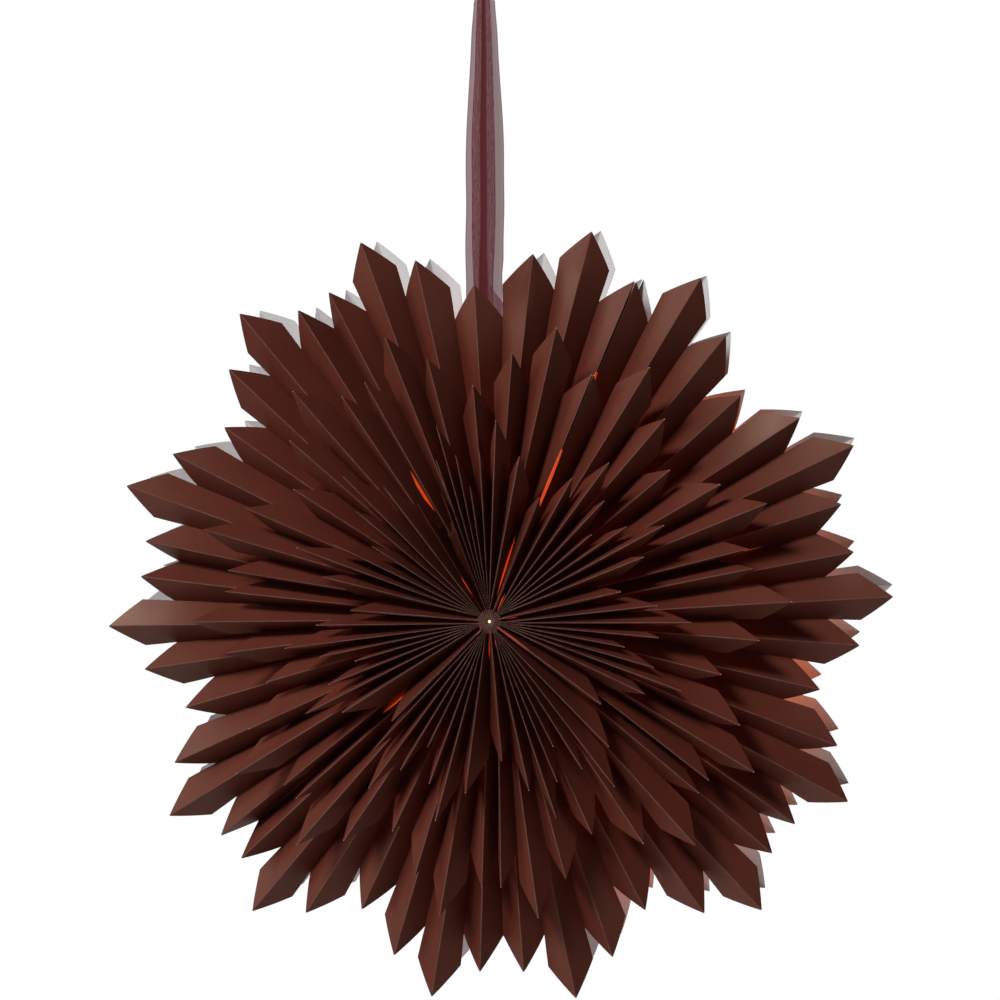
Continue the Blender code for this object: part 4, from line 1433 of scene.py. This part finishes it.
def pleated_station(height):
    """The front strand: folded back and forth along its middle, so that three layers lie there."""
    closed = 1.0 - ease(height, -0.290, -0.360)
    width = strand_width(height)
    closing = closed * (closing_share + closing_gain * ease(height, -0.200, -0.250))
    shown_width = width * (1.0 - closing)
    overlap = width * closing / 2.0 + least_overlap
    edge = (shown_width - overlap) / 2.0
    outer_layer = edge + overlap
    total = outer_layer + overlap + outer_layer

    def point(share):
        along = share * total
        if along < outer_layer:
            x = -shown_width / 2.0 + along
            layer = ease(along, outer_layer - layer_bend, outer_layer) * low_layer
        elif along < outer_layer + overlap:
            passed = along - outer_layer
            x = overlap / 2.0 - passed
            layer = low_layer + (1.0 - low_layer) * passed / overlap
        else:
            passed = along - outer_layer - overlap
            x = -overlap / 2.0 + passed
            layer = 1.0 + low_layer * (1.0 - ease(passed, 0.0, layer_bend))
        from_middle = abs(x) - overlap / 2.0
        stripe = 1.0 - ease(from_middle, -stripe_soft_inside, stripe_soft_outside)
        x += stripe_sway * math.sin(height * 60.0) * closed - stripe_shift * closed
        depth = leg_depth(height) + layers_depth * layer * closed
        return Vector((x, -depth, height)), max(least_crowding, closed * stripe)
    return point


strand_drop = rod_height - strand_start
heights = [strand_start + strand_drop * step / strand_steps for step in range(strand_steps)]
front_strand = [pleated_station(height) for height in heights]
round_rod = bend_stations(rod_bend, rod_height, math.pi, math.tau, ribbon_width, 0.0, 0.0)
back_strand = [flat_station(height) for height in reversed(heights)]
strands = ribbon_strip("ribbon_both_strands", front_strand + round_rod + back_strand)
print("ribbon strands:", len(strands.data.polygons), "faces")

# %% [markdown]
# ## Sheer ribbon: the loop for the hook
#
# Above the knot the ribbon opens as a loop for the hook. It is gathered there to half its width, in
# five soft folds that run round the bend.

# %% Sheer ribbon: the loop for the hook
loop_start = -0.0185
loop_width = 0.0150
loop_gathers = 5.0
loop_gather_depth = 0.0017
loop_foot_share = 0.75
leg_steps = 6


def leg_station(height, side):
    spread = loop_foot_share + (1.0 - loop_foot_share) * ease(height, loop_start, -0.010)

    def point(share):
        gather = loop_gather_depth * (0.5 - 0.5 * math.cos(math.tau * loop_gathers * share))
        out = leg_depth(height) + gather
        return Vector(((share - 0.5) * loop_width * spread, side * out, height)), 0.0
    return point


leg_drop = -hook_bend - loop_start
leg_heights = [loop_start + leg_drop * step / leg_steps for step in range(leg_steps)]
up_front = [leg_station(height, -1.0) for height in leg_heights]
over_hook = bend_stations(hook_bend, -hook_bend, math.pi, 0.0, loop_width, loop_gathers, loop_gather_depth)
down_back = [leg_station(height, 1.0) for height in reversed(leg_heights)]
hook_loop = ribbon_strip("ribbon_hook_loop", up_front + over_hook + down_back)
print("hook loop:", len(hook_loop.data.polygons), "faces")

# %% [markdown]
# ## Sheer ribbon: the knot
#
# A few turns of the ribbon tie the strands together. They are a short barrel with slanting creases,
# about as wide as the gathered strands. Its last station meets its first, so the doubles there are
# merged, and the normals are worked out again.

# %% Sheer ribbon: the knot
knot_turns = 24
knot_half_height = 0.0042
knot_half_width = 0.0058
knot_half_depth = 0.0019
knot_bulge = (0.0016, 0.0020)
knot_creases = 3.0
knot_crease_share = 0.10
knot_slant = 0.0010
# The knot counts as crowded, so the finish paints it darker, as painted shade among its turns
knot_crowding = 0.9


def knot_station(step):
    """One place round the knot: the ribbon wraps both strands, pulled in above and below."""
    angle = math.tau * step / knot_turns

    def point(share):
        height = (share - 0.5) * 2.0
        bulge = math.sqrt(max(1.0 - height * height, 0.0))
        crease = 1.0 + knot_crease_share * math.sin(math.tau * knot_creases * share + angle)
        wide = (knot_half_width + knot_bulge[0] * bulge) * crease
        deep = (knot_half_depth + knot_bulge[1] * bulge) * crease
        slant = knot_slant * math.sin(angle)
        return Vector((wide * math.cos(angle), deep * math.sin(angle),
                       knot_height + knot_half_height * height + slant)), knot_crowding
    return point


knot = ribbon_strip("ribbon_knot", [knot_station(step) for step in range(knot_turns + 1)])
bm = bmesh.new()
bm.from_mesh(knot.data)
bmesh.ops.remove_doubles(bm, verts=bm.verts, dist=same_point)
bmesh.ops.recalc_face_normals(bm, faces=bm.faces)
bm.to_mesh(knot.data)
bm.free()
print("knot:", len(knot.data.polygons), "faces")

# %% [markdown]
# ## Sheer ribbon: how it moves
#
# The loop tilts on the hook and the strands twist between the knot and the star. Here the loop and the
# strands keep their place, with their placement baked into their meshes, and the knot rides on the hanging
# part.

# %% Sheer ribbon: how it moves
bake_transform(hook_loop)
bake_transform(strands)
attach(knot, "hanging_ribbon")
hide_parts("hanging_loop")
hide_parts("ribbon_strands", "ribbon_tail")

# %% [markdown]
# ## Lamp, rod, wire and clip
#
# The solids of the lamp keep their shapes and get real finishes. The rod is beech with fine grain along
# it. The wire and the clip are drawn steel with faint streaks, and the holder is black moulded plastic
# with a brass thread sleeve. One function makes them all: noise, stretched along the grain, mixes two
# tones. The bulb is warm opal glass that glows evenly, with a faint cloud in it.

# %% Lamp, rod, wire and clip
streaked_finishes = (
    ("hanger_rod", "beech_wood",
     (0.56, 0.36, 0.20), (0.40, 0.23, 0.11), 0.0, 0.55, (0.06, 1.0, 1.0), 900.0),
    ("lamp_stirrup", "steel_wire",
     (0.62, 0.62, 0.63), (0.48, 0.48, 0.50), 1.0, 0.22, (1.0, 1.0, 0.10), 1500.0),
    ("closing_clip", "spring_steel",
     (0.50, 0.50, 0.52), (0.38, 0.38, 0.41), 1.0, 0.28, (1.0, 0.15, 1.0), 900.0),
    ("lamp_holder_shell", "black_plastic",
     (0.012, 0.012, 0.013), (0.022, 0.022, 0.023), 0.0, 0.35, (1.0, 1.0, 1.0), 2200.0),
    ("lamp_holder_sleeve", "brass",
     (0.72, 0.50, 0.20), (0.60, 0.39, 0.14), 1.0, 0.25, (1.0, 1.0, 6.0), 400.0),
    ("bulb_cap", "cap_metal",
     (0.72, 0.72, 0.73), (0.58, 0.58, 0.60), 1.0, 0.25, (1.0, 1.0, 8.0), 400.0),
)


def streaked_material(name, base, streak, metallic, roughness, stretch, size):
    """A finish with fine streaks: wood grain, drawn wire or brushed metal."""
    material, tree, inputs = new_material(name)
    stretched = add_node(tree, "ShaderNodeMapping", {"Vector": object_place(tree), "Scale": stretch})
    streaks = noise(tree, stretched.outputs["Vector"], size, 4.0)
    set_finish(tree, inputs, {
        "Base Color": mix_colour(tree, map_range(tree, streaks, 0.35, 0.65, 0.0, 1.0), base, streak),
        "Metallic": metallic,
        "Roughness": map_range(tree, streaks, 0.3, 0.7, roughness, roughness + 0.15),
        "Normal": bump(tree, streaks, 0.2),
    })
    return material


def dress_solid(node, material):
    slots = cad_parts[node].data.materials
    for place in range(len(slots)):
        slots[place] = material


for node, *finish in streaked_finishes:
    dress_solid(node, streaked_material(*finish))

warm_glass, tree, inputs = new_material("warm_glass")
cloud = place_group(tree, fibre, {"Fibre Size": 300.0, "Cloud Size": 60.0})["Cloud"]
set_finish(tree, inputs, {
    "Base Color": mix_colour(tree, cloud, (0.86, 0.74, 0.56), (0.94, 0.84, 0.68)),
    "Roughness": 0.18,
    "Emission Color": mix_colour(tree, cloud, (1.0, 0.56, 0.28), (1.0, 0.64, 0.36)),
    "Emission Strength": 1.8,
})
dress_solid("bulb_glass", warm_glass)
print("finishes given to", len(streaked_finishes) + 1, "solids")

# %% [markdown]
# ## Finish
#
# The box of the dressed model is printed, in millimetres.

# %% Finish
dressed_low, dressed_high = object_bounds()
print("dressed model, millimetres:", [round(1000.0 * side) for side in dressed_high - dressed_low])
